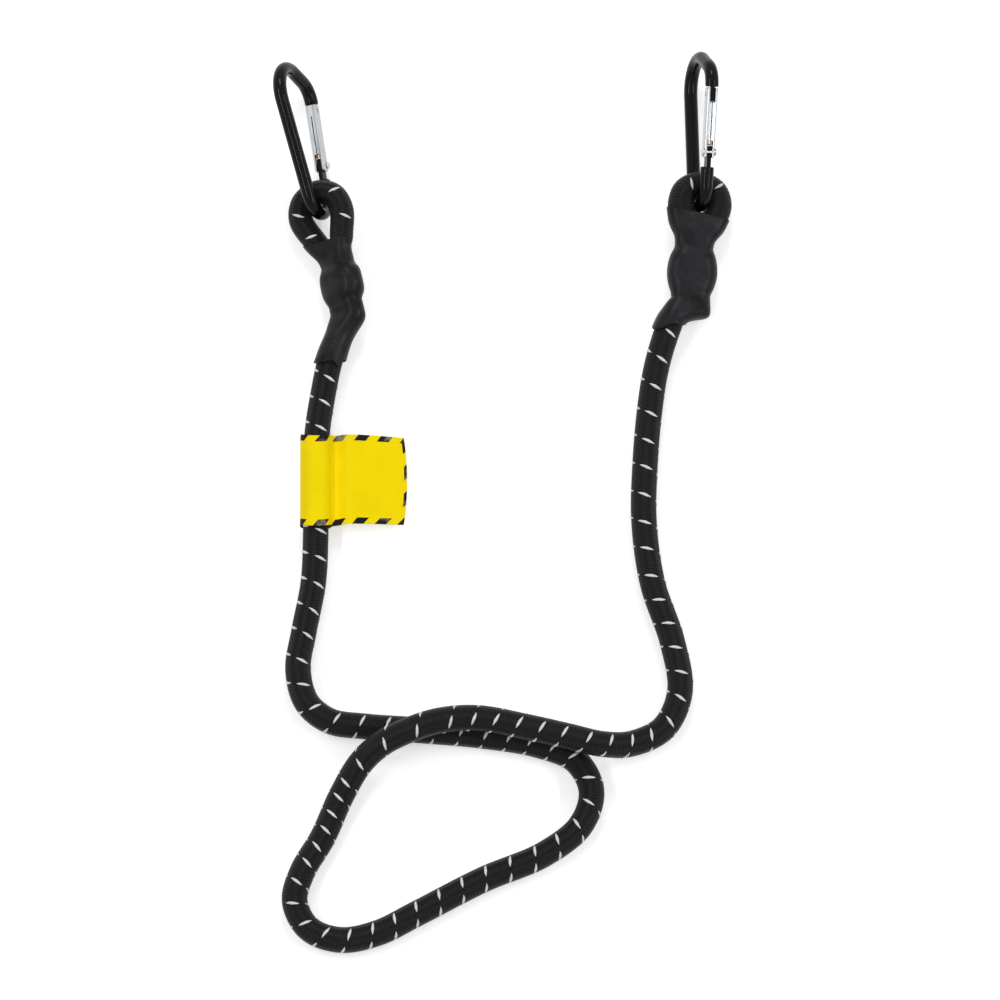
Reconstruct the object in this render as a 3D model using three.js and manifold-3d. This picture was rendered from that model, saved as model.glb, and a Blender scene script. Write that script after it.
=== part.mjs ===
// Bungee cord with a snap hook at each end, laid flat on a table with one loop.
// Millimetres, +Z up, +Y away from the loop, the table is z = 0.
import * as THREE from "three";
import { mergeVertices } from "three/addons/utils/BufferGeometryUtils.js";
import Module from "manifold-3d";

const solidKit = await Module();
solidKit.setup();

// Driving sizes

const gap = 0.3; // air between pieces that lie against each other
const cordThickness = 9.5; // across the flats of the sheath, 3/8 in
const cordSides = 12;
const coreSides = 8;
const sheathWall = 1.0;
const crimpSqueeze = 0.52; // share of the cord's thickness left inside a crimp
const bulgeSqueeze = 0.8; // the same between the two crimps
const tailFlare = 0.78; // the same at the cut tail
const crimpThickness = 1.0;
const crimpWidth = 2.8;
const crimpSeam = 24; // degrees left open where the ends of a crimp meet
const crimpSides = 30;
const crimpSlack = 0.15; // extra room inside a crimp
const crimpPlateau = 0.75; // half length of the squeezed stretch, in crimp widths
const sleeveWall = 0.8;
const sleeveSides = 22;
const sleeveSlack = 0.3; // extra room between the cord and a sleeve
const sleeveOverSlant = 1.17; // share by which a sleeve widens where the legs cross its rings at a slant
const sleeveOverLeg = 1.02; // the same on straight legs
const tableClear = 0.05; // air under what lies on the table

// Shape of the eye, from its top to the first crimp. Shares are of the eye's half width.
const eyeSlack = 0.2; // extra room for the cord in the hook's lower bend
const eyeHigh = 0.3; // first pair of points below the top
const eyeHighWidth = 0.74;
const neckPlace = 0.48; // between the shoulder of the eye and the first crimp
const neckWidth = 0.6; // share of the crimped width that is added at the neck
const neckSqueeze = 0.92;
const lowerSqueeze = 0.84; // share of the cord's thickness left beside the cut tail

const hookLength = 60;
const barThickness = 5;
const barSides = 12;
const gateTilt = 18; // degrees between the gate and the spine
const crownRadius = 11;
const crownTurn = 125; // degrees that the crown bend turns
const noseRadius = 8;
const bendSteps = 9; // rings in each bend of a hook

const gateWidth = 4.2; // across the flat sides, along the rivet
const gateDepth = 4.2; // in the plane of the hook
const gateCorner = 1.0;
const gateFoot = 9.9; // start of the gate, measured up the gate line
const slotWidth = 2.2;
const lowerSlotDepth = 6.3;
const upperSlotDepth = 5.6;
const shoulderBelowGate = 3.4;
const rivetAboveFoot = 2.1;
const rivetOffset = 1.05; // from the gate's middle line towards the outside
const rivetRadius = 0.8;
const rivetHeadRadius = 1.3;
const rivetHeadHeight = 0.7;
const pinHoleGap = 0.15;
const tongueTop = 2.2; // height of the tongue above the rivet
const tongueInner = 1.8; // from the gate's middle line towards the spine
const tongueOuter = 1.9; // and towards the outside
const tongueRound = 1.3; // radius of its outer top corner
const tongueRoot = 3; // depth of the tongue inside the bar
const latchPinRadius = 0.6;
const latchBelowTop = 2.5;
const latchOffset = -0.45; // from the gate's middle line towards the outside
const barbReach = 1.7; // from the gate's middle line towards the spine
const barbHeight = 1.3;
const barbRake = 0.15; // fall of the barb's top towards the neck
const barbRound = 0.8; // radius of the barb's outer corner
const barbOuter = 1.8; // from the gate's middle line towards the outside
const barbGap = 0.5; // air between the latch pin and the barb
const noseRoot = 2.5; // depth of the neck inside the bar
const boreRadius = 1.2;
const boreRoof = 1.2; // metal between the bore and the upper slot
const overcut = 2; // by which a cutter stands past the face that it cuts
const plungerRadius = 0.95;
const plungerHead = 4.0;
const plungerTip = 0.7; // radius of the plunger's rounded tip
const plungerStem = 0.4;
const plungerStemLength = 3;
const springWire = 0.32;
const springRadius = 0.75;
const springPitch = 1.25;
const springRoom = 0.8; // air left above the spring in the bore
const springSides = 5;
const springStepsPerCurl = 8;

const tagThickness = 0.6;
const tagWrap = 0.5; // thickness of the turn round the cord
const tagSlack = 0.3; // extra room between that turn and the cord
const tagStrand = -68.7; // x of the strand that carries the tag
const tagHeight = 34.3;
const tagFlag = 28.5; // from the cord's side to the free edge
const tagDroop = 2.5; // fall of the free edge
const tagMiddle = 7.9; // y of the tag's middle

// Values that follow from the driving sizes

const cordRadius = cordThickness / 2; // to the flats
const cornerShare = 1 / Math.cos(Math.PI / cordSides); // from flats to corners
const cordCorner = cordRadius * cornerShare;
const coreInset = sheathWall + gap;
const legApart = (squeeze) => 2 * cordCorner * squeeze + gap;
const bendRadius = cordCorner + gap + eyeSlack + barThickness / 2; // middle line of the hook's lower bend
const rad = THREE.MathUtils.degToRad;
const point = (x, y, z = 0) => new THREE.Vector3(x, y, z);
const upward = point(0, 0, 1);

// The two ends. Places are on the table plan, heights are of the cord's middle line.

const ends = {
  left: {
    pivot: point(-68.8, 116.8, 10.75), // middle of the cord at the top of the eye
    hookHeading: 98.5, // degrees from +X
    hookRise: 18, // degrees that the spine climbs from the pivot, so that the gate lies level
    gateDown: true,
    eyeRoll: 25, // degrees, right leg up
    eyeHalfWidth: 8.3,
    eyeSqueeze: 0.95,
    eyeCrimp: point(-60.9, 89.2, 8.4),
    tailCrimp: point(-58.1, 75.4, 7.7),
    bulgeHeight: 8.5,
    crimpRoll: 50,
    tailEnd: point(-54.7, 69.9, 8.4),
    mouth: point(-63.8, 53.3, 6.4),
    mouthLean: point(3.2, 9.9, 0), // from the mouth up the standing leg
    sleeveTop: 3, // stop where the sleeve's top edge lies, counted down from the eye's top
    sleeveSlant: 0.15, // stops by which that edge dips on the standing leg
  },
  right: {
    pivot: point(72.2, 120.3, 10.3),
    hookHeading: 91.7,
    hookRise: 0,
    gateDown: false,
    eyeRoll: -16,
    eyeHalfWidth: 7.7,
    eyeSqueeze: 0.93,
    eyeCrimp: point(69.8, 96.2, 6.6),
    tailCrimp: point(68.6, 79.5, 5.8),
    bulgeHeight: 6.1,
    crimpRoll: -10,
    tailEnd: point(72.6, 71.9, 5.9),
    mouth: point(60.8, 67.4, 6.4),
    mouthLean: point(2.3, 4.6, 0),
    sleeveTop: 2.45,
    sleeveSlant: -0.1,
  },
};

// The free run of the cord, from the left sleeve's mouth to the right one. The third number is the height
// of the cord above its place on the table, where the cord climbs over its own lower strand.

const freeRun = [
  [-66.4, 40.4, 0.6],
  [-68.3, 26.7, 1.32],
  [-68.9, 9, 1.32],
  [-68.8, -11.8, 1.32],
  [-69.6, -30.2, 0.2],
  [-73, -48.9, 0],
  [-75.1, -63.5, 0],
  [-71.8, -75.9, 0],
  [-63.4, -82.8, 0],
  [-50.9, -84.8, 0],
  [-30.4, -86.3, 0],
  [-7.4, -88.4, 0],
  [12.6, -91.9, 0],
  [26.2, -97.8, 0],
  [31.9, -109.2, 0],
  [28, -122.1, 0],
  [14.6, -133, 0],
  [-7.4, -142.5, 0],
  [-31.4, -155.2, 0],
  [-45.9, -162.6, 0],
  [-59.4, -165.2, 0],
  [-70.8, -161, 0],
  [-76, -150.8, 0],
  [-73.4, -139.9, 0],
  [-65.9, -126.7, 0],
  [-59, -110.9, 0.8],
  [-52, -99.8, 4.8],
  [-44, -93.6, 9.4],
  [-34.4, -89.1, 10.9],
  [-23.2, -85.4, 10.5],
  [-9.4, -84.3, 9.7],
  [8.6, -87.7, 9.7],
  [23.6, -91.1, 9.4],
  [35.6, -93.1, 6.2],
  [46.6, -91.7, 1.4],
  [58.4, -85.3, 0],
  [64.2, -71.8, 0],
  [61.6, -53.1, 0],
  [54.4, -30.7, 0],
  [51.3, -7.3, 0],
  [51.8, 15.6, 0],
  [53.6, 36.4, 0],
  [56.2, 52.4, 0.4],
];

// Lofts

/** One closed solid from rings of points, capped at both ends. */
function loft(rings) {
  const sides = rings[0].length;
  const places = rings.flat();
  const triangles = [];
  for (let ring = 0; ring + 1 < rings.length; ring++) {
    for (let side = 0; side < sides; side++) {
      const next = (side + 1) % sides;
      const a = ring * sides + side;
      const b = ring * sides + next;
      triangles.push(a, b, b + sides, a, b + sides, a + sides);
    }
  }
  const last = (rings.length - 1) * sides;
  for (let side = 1; side + 1 < sides; side++) {
    triangles.push(0, side + 1, side);
    triangles.push(last, last + side, last + side + 1);
  }
  return geometryOf(places, triangles);
}

/** One closed tube from outer and inner rings, joined by a flat rim at both ends. */
function hollowLoft(outer, inner) {
  const sides = outer[0].length;
  const count = outer.length;
  const places = [...outer.flat(), ...inner.flat()];
  const shift = count * sides;
  const triangles = [];
  for (let side = 0; side < sides; side++) {
    const next = (side + 1) % sides;
    for (let ring = 0; ring + 1 < count; ring++) {
      const a = ring * sides + side;
      const b = ring * sides + next;
      triangles.push(a, b, b + sides, a, b + sides, a + sides);
      triangles.push(shift + a, shift + b + sides, shift + b);
      triangles.push(shift + a, shift + a + sides, shift + b + sides);
    }
    const last = (count - 1) * sides;
    triangles.push(side, shift + next, next, side, shift + side, shift + next);
    triangles.push(last + side, last + next, shift + last + next);
    triangles.push(last + side, shift + last + next, shift + last + side);
  }
  return geometryOf(places, triangles);
}

function geometryOf(places, triangles) {
  const geometry = new THREE.BufferGeometry();
  geometry.setFromPoints(places);
  geometry.setIndex(triangles);
  return geometry;
}

/** A regular ring of corners round a middle, with one flat towards the side that faces down. */
function roundRing(middle, across, over, corner, sides) {
  const ring = [];
  for (let side = 0; side < sides; side++) {
    const turn = ((side + 0.5) * 2 * Math.PI) / sides;
    ring.push(
      middle
        .clone()
        .addScaledVector(across, corner * Math.cos(turn))
        .addScaledVector(over, corner * Math.sin(turn)),
    );
  }
  return ring;
}

// Booleans

function solidOf(geometry) {
  const flat = geometry.index ? geometry.toNonIndexed() : geometry.clone();
  const bare = new THREE.BufferGeometry().setAttribute("position", flat.getAttribute("position"));
  const merged = mergeVertices(bare, 1e-4);
  return new solidKit.Manifold(
    new solidKit.Mesh({
      numProp: 3,
      vertProperties: merged.attributes.position.array,
      triVerts: new Uint32Array(merged.index.array),
    }),
  );
}

function geometryFrom(solid) {
  const mesh = solid.getMesh();
  const geometry = new THREE.BufferGeometry();
  geometry.setAttribute("position", new THREE.BufferAttribute(new Float32Array(mesh.vertProperties), 3));
  geometry.setIndex(new THREE.BufferAttribute(mesh.triVerts, 1));
  return geometry;
}

/** Adds the second list to the first piece, then takes the third list away. */
function combine(base, added, removed) {
  let solid = solidOf(base);
  for (const piece of added) solid = solid.add(solidOf(piece));
  for (const piece of removed) solid = solid.subtract(solidOf(piece));
  return geometryFrom(solid);
}

const group = new THREE.Group();

function addMesh(name, geometry, look) {
  const bare = geometry.index ? geometry.toNonIndexed() : geometry;
  bare.computeVertexNormals();
  const mesh = new THREE.Mesh(bare, new THREE.MeshStandardMaterial(look));
  mesh.name = name;
  group.add(mesh);
}

const looks = {
  braid: { color: 0x161617, roughness: 0.75, metalness: 0 },
  rubber: { color: 0x8c7a55, roughness: 0.9, metalness: 0 },
  shrink: { color: 0x2a292c, roughness: 0.7, metalness: 0 },
  anodised: { color: 0x0b0b0c, roughness: 0.3, metalness: 0.6 },
  bright: { color: 0xd5d8da, roughness: 0.2, metalness: 1 },
  steel: { color: 0x9a9da0, roughness: 0.35, metalness: 1 },
  brass: { color: 0xc9a66b, roughness: 0.3, metalness: 1 },
  vinyl: { color: 0xffe100, roughness: 0.45, metalness: 0 },
};

// The doubled ends

/** Level direction to the right of a heading, tipped up by the roll. */
function acrossOf(heading, roll) {
  const level = point(Math.sin(rad(heading)), -Math.cos(rad(heading)), 0);
  return level.multiplyScalar(Math.cos(rad(roll))).addScaledVector(upward, Math.sin(rad(roll)));
}

/** Directions of one doubled end: along the crimps, across its two legs, and across the top of the eye. */
function framesOf(end) {
  const along = end.eyeCrimp.clone().sub(end.tailCrimp).normalize();
  const heading = THREE.MathUtils.radToDeg(Math.atan2(along.y, along.x));
  const across = acrossOf(heading, end.crimpRoll);
  across.addScaledVector(along, -across.dot(along)).normalize();
  const over = new THREE.Vector3().crossVectors(across, along).normalize();
  const eyeAcross = acrossOf(end.hookHeading, end.eyeRoll);
  return { along, across, over, eyeAcross };
}

/** Stations down one doubled end: the standing leg, the tail leg, and the cord's squeeze there. */
function stationsOf(end) {
  const { along, across, eyeAcross } = framesOf(end);
  const down = end.eyeCrimp.clone().sub(end.pivot);
  down.addScaledVector(eyeAcross, -down.dot(eyeAcross)).normalize();
  const halfCrimp = along.clone().multiplyScalar(crimpWidth * crimpPlateau);
  const width = end.eyeHalfWidth;
  const shoulder = end.pivot.clone().addScaledVector(down, width);
  const high = end.pivot.clone().addScaledVector(down, width * eyeHigh);
  const neck = shoulder.clone().lerp(end.eyeCrimp, neckPlace);
  const neckAcross = eyeAcross.clone().lerp(across, 0.5).normalize();
  const bulge = end.eyeCrimp.clone().lerp(end.tailCrimp, 0.5);
  bulge.z = end.bulgeHeight;
  const tight = legApart(crimpSqueeze);
  const pair = (middle, direction, apart, squeeze) => ({
    standing: middle.clone().addScaledVector(direction, -apart / 2),
    tail: middle.clone().addScaledVector(direction, apart / 2),
    squeeze,
  });
  return [
    pair(high, eyeAcross, 2 * width * eyeHighWidth, end.eyeSqueeze),
    pair(shoulder, eyeAcross, 2 * width, end.eyeSqueeze),
    pair(neck, neckAcross, width + tight * neckWidth, neckSqueeze),
    pair(end.eyeCrimp.clone().add(halfCrimp), across, tight, crimpSqueeze),
    pair(end.eyeCrimp.clone().sub(halfCrimp), across, tight, crimpSqueeze),
    pair(bulge, across, legApart(bulgeSqueeze), bulgeSqueeze),
    pair(end.tailCrimp.clone().add(halfCrimp), across, tight, crimpSqueeze),
    pair(end.tailCrimp.clone().sub(halfCrimp), across, tight, crimpSqueeze),
    { standing: end.mouth.clone().add(end.mouthLean), tail: end.tailEnd, squeeze: tailFlare },
  ];
}

/** Points of the cord round one end, from the cut tail to the sleeve's mouth. */
function endRoute(end) {
  const stations = stationsOf(end);
  const stops = [];
  for (const { tail, squeeze } of [...stations].reverse()) stops.push({ place: tail, squeeze });
  stops.push({ place: end.pivot, squeeze: end.eyeSqueeze });
  for (const { standing, squeeze } of stations) stops.push({ place: standing, squeeze });
  stops[stops.length - 1].squeeze = lowerSqueeze;
  stops.push({ place: end.mouth, squeeze: 1 });
  return stops;
}

const routeLeft = endRoute(ends.left);
const routeRight = endRoute(ends.right);
const route = [
  ...routeLeft,
  ...freeRun.map(([x, y, lift]) => ({ place: point(x, y, cordRadius + lift), squeeze: 1 })),
  ...routeRight.reverse(),
];
const spans = route.length - 1;
const apexStop = (routeLeft.length - 2) / 2; // place of the eye's top, counted from the cut tail

// The cord

const cordLine = new THREE.CatmullRomCurve3(
  route.map((stop) => stop.place),
  false,
  "centripetal",
);

/** Middle of the cord at a place counted in stops of the route, kept from sinking into the table. */
function cordMiddle(at) {
  const middle = cordLine.getPoint(at / spans);
  middle.z = Math.max(middle.z, cordRadius * squeezeAt(at));
  return middle;
}

function squeezeAt(at) {
  const start = Math.min(Math.floor(at), spans - 1);
  const share = THREE.MathUtils.smoothstep(at - start, 0, 1);
  return THREE.MathUtils.lerp(route[start].squeeze, route[start + 1].squeeze, share);
}

/** Rings down the whole cord, their flats pulled in by an inset from the sheath's outside. */
function cordRings(inset, sides) {
  const rings = [];
  for (let half = 0; half <= spans * 2; half++) {
    const at = half / 2;
    const forward = cordLine.getTangent(at / spans);
    const across = new THREE.Vector3().crossVectors(forward, upward).normalize();
    const over = new THREE.Vector3().crossVectors(across, forward);
    const flat = cordRadius * squeezeAt(at) - inset;
    const corner = sides === cordSides ? flat * cornerShare : flat;
    rings.push(roundRing(cordMiddle(at), across, over, corner, sides).reverse());
  }
  return rings;
}

const sheath = hollowLoft(cordRings(0, cordSides), cordRings(sheathWall, cordSides));
addMesh("braided_sheath", sheath, looks.braid);
addMesh("rubber_core", loft(cordRings(coreInset, coreSides)), looks.rubber);

// Crimps and sleeves, wrapped round the two legs

/** Outline of a tight wrap round two equal circles, left open at the top by a few degrees if asked. */
function wrapRing(first, second, radius, across, over, sides, open = 0) {
  const ring = [];
  const apart = second.clone().sub(first);
  const steps = open ? sides : sides - 1;
  for (let side = 0; side <= steps; side++) {
    const turn = Math.PI / 2 + rad(open / 2) + (rad(360 - open) * side) / sides;
    const outward = across.clone().multiplyScalar(Math.cos(turn)).addScaledVector(over, Math.sin(turn));
    const middle = apart.dot(outward) > 0 ? second : first;
    ring.push(middle.clone().addScaledVector(outward, radius));
  }
  return ring;
}

const crimpInside = cordCorner * crimpSqueeze + gap + crimpSlack;
const crimpOutside = crimpInside + crimpThickness;

/** The strip of metal bent round both legs, with a seam on top. */
function crimp(end, middle) {
  const { along, across, over } = framesOf(end);
  const half = legApart(crimpSqueeze) / 2;
  const first = middle.clone().addScaledVector(across, -half);
  const second = middle.clone().addScaledVector(across, half);
  const inner = wrapRing(first, second, crimpInside, across, over, crimpSides, crimpSeam);
  const outer = wrapRing(first, second, crimpOutside, across, over, crimpSides, crimpSeam);
  const edge = along.clone().multiplyScalar(crimpWidth / 2);
  const rings = inner.map((place, index) => [
    place.clone().sub(edge),
    outer[index].clone().sub(edge),
    outer[index].clone().add(edge),
    place.clone().add(edge),
  ]);
  return loft(rings);
}

/** Inside radius of the sleeve round each leg, at a stop counted down from the eye's top. */
function sleeveInside(stop, squeeze) {
  const slanting = stop < 4 || (stop > 8 && stop < 9.3); // at the neck and past the tail crimp
  const leg = cordCorner * squeeze * (slanting ? sleeveOverSlant : sleeveOverLeg) + gap + sleeveSlack;
  const nearCrimp = stop > 3.4 && stop < 8.6 ? crimpOutside + gap : 0;
  return Math.max(leg, nearCrimp);
}

/** Rings of one sleeve, from its top edge over the eye's legs down to its mouth. */
function sleeveRings(end, toLeft, allowance) {
  const cordStop = (stop) => (toLeft ? apexStop + stop : spans - apexStop - stop);
  const tailStop = (stop) => (toLeft ? apexStop - stop : spans - apexStop + stop);
  const { across: crimpAcross } = framesOf(end);
  const tailEnd = apexStop;
  const mouth = apexStop + 1;
  const stops = [];
  for (let stop = end.sleeveTop; stop < mouth; stop += 0.5) stops.push(stop);
  stops.push(mouth);
  return stops.map((stop, index) => {
    const slant = index === 0 ? end.sleeveSlant : 0;
    const standing = cordMiddle(cordStop(stop + slant));
    const closing = THREE.MathUtils.smoothstep(stop, tailEnd, tailEnd + 0.5);
    const tail = cordMiddle(tailStop(Math.min(stop - slant, tailEnd))).lerp(standing, closing);
    const along = cordMiddle(cordStop(stop - 0.1)).sub(cordMiddle(cordStop(stop + 0.1)));
    if (stop < tailEnd) {
      along.normalize();
      along.add(cordMiddle(tailStop(stop - 0.1)).sub(cordMiddle(tailStop(stop + 0.1))).normalize());
    }
    along.normalize();
    const reach = tail.clone().sub(standing);
    const across = reach.length() > 1 ? reach : crimpAcross.clone();
    across.addScaledVector(along, -across.dot(along)).normalize();
    const over = new THREE.Vector3().crossVectors(across, along).normalize();
    const radius = sleeveInside(stop, squeezeAt(cordStop(stop))) + allowance;
    const ring = wrapRing(standing, tail, radius, across, over, sleeveSides);
    for (const spot of ring) spot.z = Math.max(spot.z, tableClear + sleeveWall - allowance);
    return ring;
  });
}

for (const [name, end] of Object.entries(ends)) {
  const toLeft = name === "left";
  const inside = sleeveRings(end, toLeft, 0);
  const outside = sleeveRings(end, toLeft, sleeveWall);
  addMesh(name + "_sleeve", hollowLoft(outside, inside), looks.shrink);
  addMesh(name + "_eye_crimp", crimp(end, end.eyeCrimp), looks.steel);
  addMesh(name + "_tail_crimp", crimp(end, end.tailCrimp), looks.steel);
}

// Snap hooks. Each is drawn in its own plane: x from spine to gate, y along the spine, with the eye's
// cord at 0, 0.
// Gate pieces are drawn along the gate line: x outward, y up the gate, from the end of the lower bend.

const tilt = rad(gateTilt);
const outward = new THREE.Vector2(Math.cos(tilt), -Math.sin(tilt));
const gateStart = outward.clone().multiplyScalar(bendRadius);
const slopeTurn = rad(180 - crownTurn);
const slopeOut = new THREE.Vector2(Math.cos(slopeTurn), Math.sin(slopeTurn));
const slopeWay = new THREE.Vector2(Math.sin(slopeTurn), -Math.cos(slopeTurn));
const spineTop = hookLength - bendRadius - barThickness - crownRadius;
const crownMiddle = new THREE.Vector2(crownRadius - bendRadius, spineTop);
const crownEnd = crownMiddle.clone().addScaledVector(slopeOut, crownRadius);
const noseTurn = outward.clone().sub(slopeOut).multiplyScalar(noseRadius);
const slopeLength = (bendRadius - crownEnd.clone().add(noseTurn).dot(outward)) / slopeWay.dot(outward);
const slopeEnd = crownEnd.clone().addScaledVector(slopeWay, slopeLength);
const noseMiddle = slopeEnd.clone().addScaledVector(slopeOut, -noseRadius);
const gateWay = new THREE.Vector2(Math.sin(tilt), Math.cos(tilt));
const noseFoot = noseMiddle.clone().addScaledVector(outward, noseRadius).sub(gateStart).dot(gateWay);

const gateTop = noseFoot - gap;
const shoulder = gateFoot - shoulderBelowGate;
const rivetHeight = gateFoot + rivetAboveFoot;
const slotRoof = gateFoot + lowerSlotDepth;
const plungerFoot = rivetHeight + tongueTop + gap / 2;
const latchHeight = gateTop - latchBelowTop;
const boreTop = gateTop - upperSlotDepth - boreRoof;
const springFoot = plungerFoot + plungerHead + gap / 2 + springWire / 2;
const springLength = boreTop - springRoom - springWire / 2 - springFoot;
const bladeThickness = slotWidth - 2 * gap;
const throughCut = Math.max(gateWidth, gateDepth) + overcut;
const latchPinLength = gateWidth - gap;

const alongGate = new THREE.Matrix4().makeRotationZ(-tilt).setPosition(gateStart.x, gateStart.y, 0);

/** Middle line of the bar as places with the direction that points out of the hook. */
function barLine() {
  const line = [];
  const bend = (middle, radius, from, to) => {
    for (let step = 0; step <= bendSteps; step++) {
      const turn = from + ((to - from) * step) / bendSteps;
      const out = new THREE.Vector2(Math.cos(turn), Math.sin(turn));
      line.push({ place: middle.clone().addScaledVector(out, radius), out });
    }
  };
  line.push({ place: gateStart.clone().addScaledVector(gateWay, shoulder), out: outward });
  bend(new THREE.Vector2(0, 0), bendRadius, -tilt, -Math.PI);
  bend(crownMiddle, crownRadius, Math.PI, slopeTurn);
  bend(noseMiddle, noseRadius, slopeTurn, -tilt);
  return line;
}

/** A plate in the plane of the hook, centred on it. */
function plate(shape, thickness, curveSegments = 6) {
  const geometry = new THREE.ExtrudeGeometry(shape, { depth: thickness, bevelEnabled: false, curveSegments });
  return geometry.translate(0, 0, -thickness / 2);
}

/** A round rod across the hook, at a place on the gate line. */
function crossRod(radius, length, x, y, sides = 16) {
  return new THREE.CylinderGeometry(radius, radius, length, sides).rotateX(Math.PI / 2).translate(x, y, 0);
}

function block(width, height, depth, x, y) {
  return new THREE.BoxGeometry(width, height, depth).translate(x, y, 0);
}

function tonguePlate() {
  const top = rivetHeight + tongueTop;
  const foot = shoulder - tongueRoot;
  const shape = new THREE.Shape();
  shape.moveTo(-tongueInner, foot);
  shape.lineTo(tongueOuter, foot);
  shape.lineTo(tongueOuter, top - tongueRound);
  shape.quadraticCurveTo(tongueOuter, top, tongueOuter - tongueRound, top);
  shape.lineTo(-tongueInner, top);
  return plate(shape, bladeThickness);
}

/** The nose's neck and barb, which the latch pin drops behind. */
function nosePlate() {
  const neckInner = latchOffset + latchPinRadius + gap;
  const neckTop = noseFoot + noseRoot;
  const barbTop = latchHeight - latchPinRadius - barbGap;
  const barbFoot = barbTop - barbHeight;
  const shape = new THREE.Shape();
  shape.moveTo(neckInner, neckTop);
  shape.lineTo(neckInner, barbTop);
  shape.lineTo(-barbReach, barbTop + barbRake);
  shape.lineTo(barbRake - barbReach, barbFoot);
  shape.lineTo(barbOuter - barbRound, barbFoot);
  shape.quadraticCurveTo(barbOuter, barbFoot, barbOuter, barbFoot + barbRound);
  shape.lineTo(barbOuter, neckTop);
  return plate(shape, bladeThickness);
}

function hookBody() {
  const corner = barThickness / 2 / Math.cos(Math.PI / barSides);
  const across = new THREE.Vector3(0, 0, 1);
  const rings = barLine().map(({ place, out }) =>
    roundRing(point(place.x, place.y), point(out.x, out.y), across, corner, barSides),
  );
  const tongue = tonguePlate().applyMatrix4(alongGate);
  const nose = nosePlate().applyMatrix4(alongGate);
  const hole = crossRod(rivetRadius + pinHoleGap, throughCut, rivetOffset, rivetHeight);
  return combine(loft(rings), [tongue, nose], [hole.applyMatrix4(alongGate)]);
}

function gate() {
  const x = gateDepth / 2;
  const y = gateWidth / 2;
  const shape = new THREE.Shape();
  shape.moveTo(-x + gateCorner, -y);
  shape.lineTo(x - gateCorner, -y);
  shape.absarc(x - gateCorner, -y + gateCorner, gateCorner, -Math.PI / 2, 0);
  shape.absarc(x - gateCorner, y - gateCorner, gateCorner, 0, Math.PI / 2);
  shape.absarc(-x + gateCorner, y - gateCorner, gateCorner, Math.PI / 2, Math.PI);
  shape.absarc(-x + gateCorner, -y + gateCorner, gateCorner, Math.PI, 1.5 * Math.PI);
  const depth = gateTop - gateFoot;
  const bar = new THREE.ExtrudeGeometry(shape, { depth, bevelEnabled: false, curveSegments: 4 });
  bar.rotateX(-Math.PI / 2).translate(0, gateFoot, 0);
  const lowerCut = lowerSlotDepth + overcut;
  const upperCut = upperSlotDepth + overcut;
  const boreCut = boreTop - slotRoof + overcut;
  const lower = block(throughCut, lowerCut, slotWidth, 0, slotRoof - lowerCut / 2);
  const upper = block(throughCut, upperCut, slotWidth, 0, gateTop + overcut - upperCut / 2);
  const bore = new THREE.CylinderGeometry(boreRadius, boreRadius, boreCut, 16);
  bore.translate(0, boreTop - boreCut / 2, 0);
  return combine(bar, [], [
    lower,
    upper,
    bore,
    crossRod(rivetRadius + pinHoleGap, throughCut, rivetOffset, rivetHeight),
    crossRod(latchPinRadius + pinHoleGap, throughCut, latchOffset, latchHeight, 12),
  ]).applyMatrix4(alongGate);
}

/** Rivet with a domed head against each flat side of the gate. */
function rivet() {
  const head = gateWidth / 2 + gap / 2;
  const half = [
    new THREE.Vector2(rivetRadius, head),
    new THREE.Vector2(rivetHeadRadius, head),
    new THREE.Vector2(rivetHeadRadius * 0.94, head + rivetHeadHeight * 0.45),
    new THREE.Vector2(rivetHeadRadius * 0.6, head + rivetHeadHeight * 0.88),
    new THREE.Vector2(0, head + rivetHeadHeight),
  ];
  const lower = half.map((spot) => new THREE.Vector2(spot.x, -spot.y)).reverse();
  const geometry = new THREE.LatheGeometry([...lower, ...half], 16);
  return geometry.rotateX(Math.PI / 2).translate(rivetOffset, rivetHeight, 0).applyMatrix4(alongGate);
}

function latchPin() {
  return crossRod(latchPinRadius, latchPinLength, latchOffset, latchHeight, 12).applyMatrix4(alongGate);
}

/** Plunger with a rounded tip on the tongue and a stem inside the spring. */
function plunger() {
  const profile = [new THREE.Vector2(0, 0)];
  for (let step = 1; step <= 4; step++) {
    const turn = (step * Math.PI) / 8;
    const flat = plungerRadius - plungerTip;
    profile.push(new THREE.Vector2(flat + plungerTip * Math.sin(turn), plungerTip * (1 - Math.cos(turn))));
  }
  profile.push(new THREE.Vector2(plungerRadius, plungerHead));
  profile.push(new THREE.Vector2(plungerStem, plungerHead));
  profile.push(new THREE.Vector2(plungerStem, plungerHead + plungerStemLength));
  profile.push(new THREE.Vector2(0, plungerHead + plungerStemLength));
  return new THREE.LatheGeometry(profile, 14).translate(0, plungerFoot, 0).applyMatrix4(alongGate);
}

/** Coil spring in the gate's bore, one unbroken wire. */
function spring() {
  const rings = [];
  const middles = [];
  const steps = Math.round((springLength / springPitch) * springStepsPerCurl);
  for (let step = 0; step <= steps; step++) {
    const turn = (step * 2 * Math.PI) / springStepsPerCurl;
    const out = point(Math.cos(turn), 0, Math.sin(turn));
    const height = springFoot + (springLength * step) / steps;
    const middle = out.clone().multiplyScalar(springRadius).add(point(0, height, 0));
    middles.push(middle);
    rings.push(roundRing(middle, out, point(0, 1, 0), springWire / 2, springSides));
  }
  let closest = Infinity;
  middles.forEach((one, index) => {
    for (const other of middles.slice(index + springStepsPerCurl / 2)) {
      closest = Math.min(closest, one.distanceTo(other) - springWire);
    }
  });
  console.log("least gap of the spring to itself, mm:", closest.toFixed(2));
  return loft(rings).applyMatrix4(alongGate);
}

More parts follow.
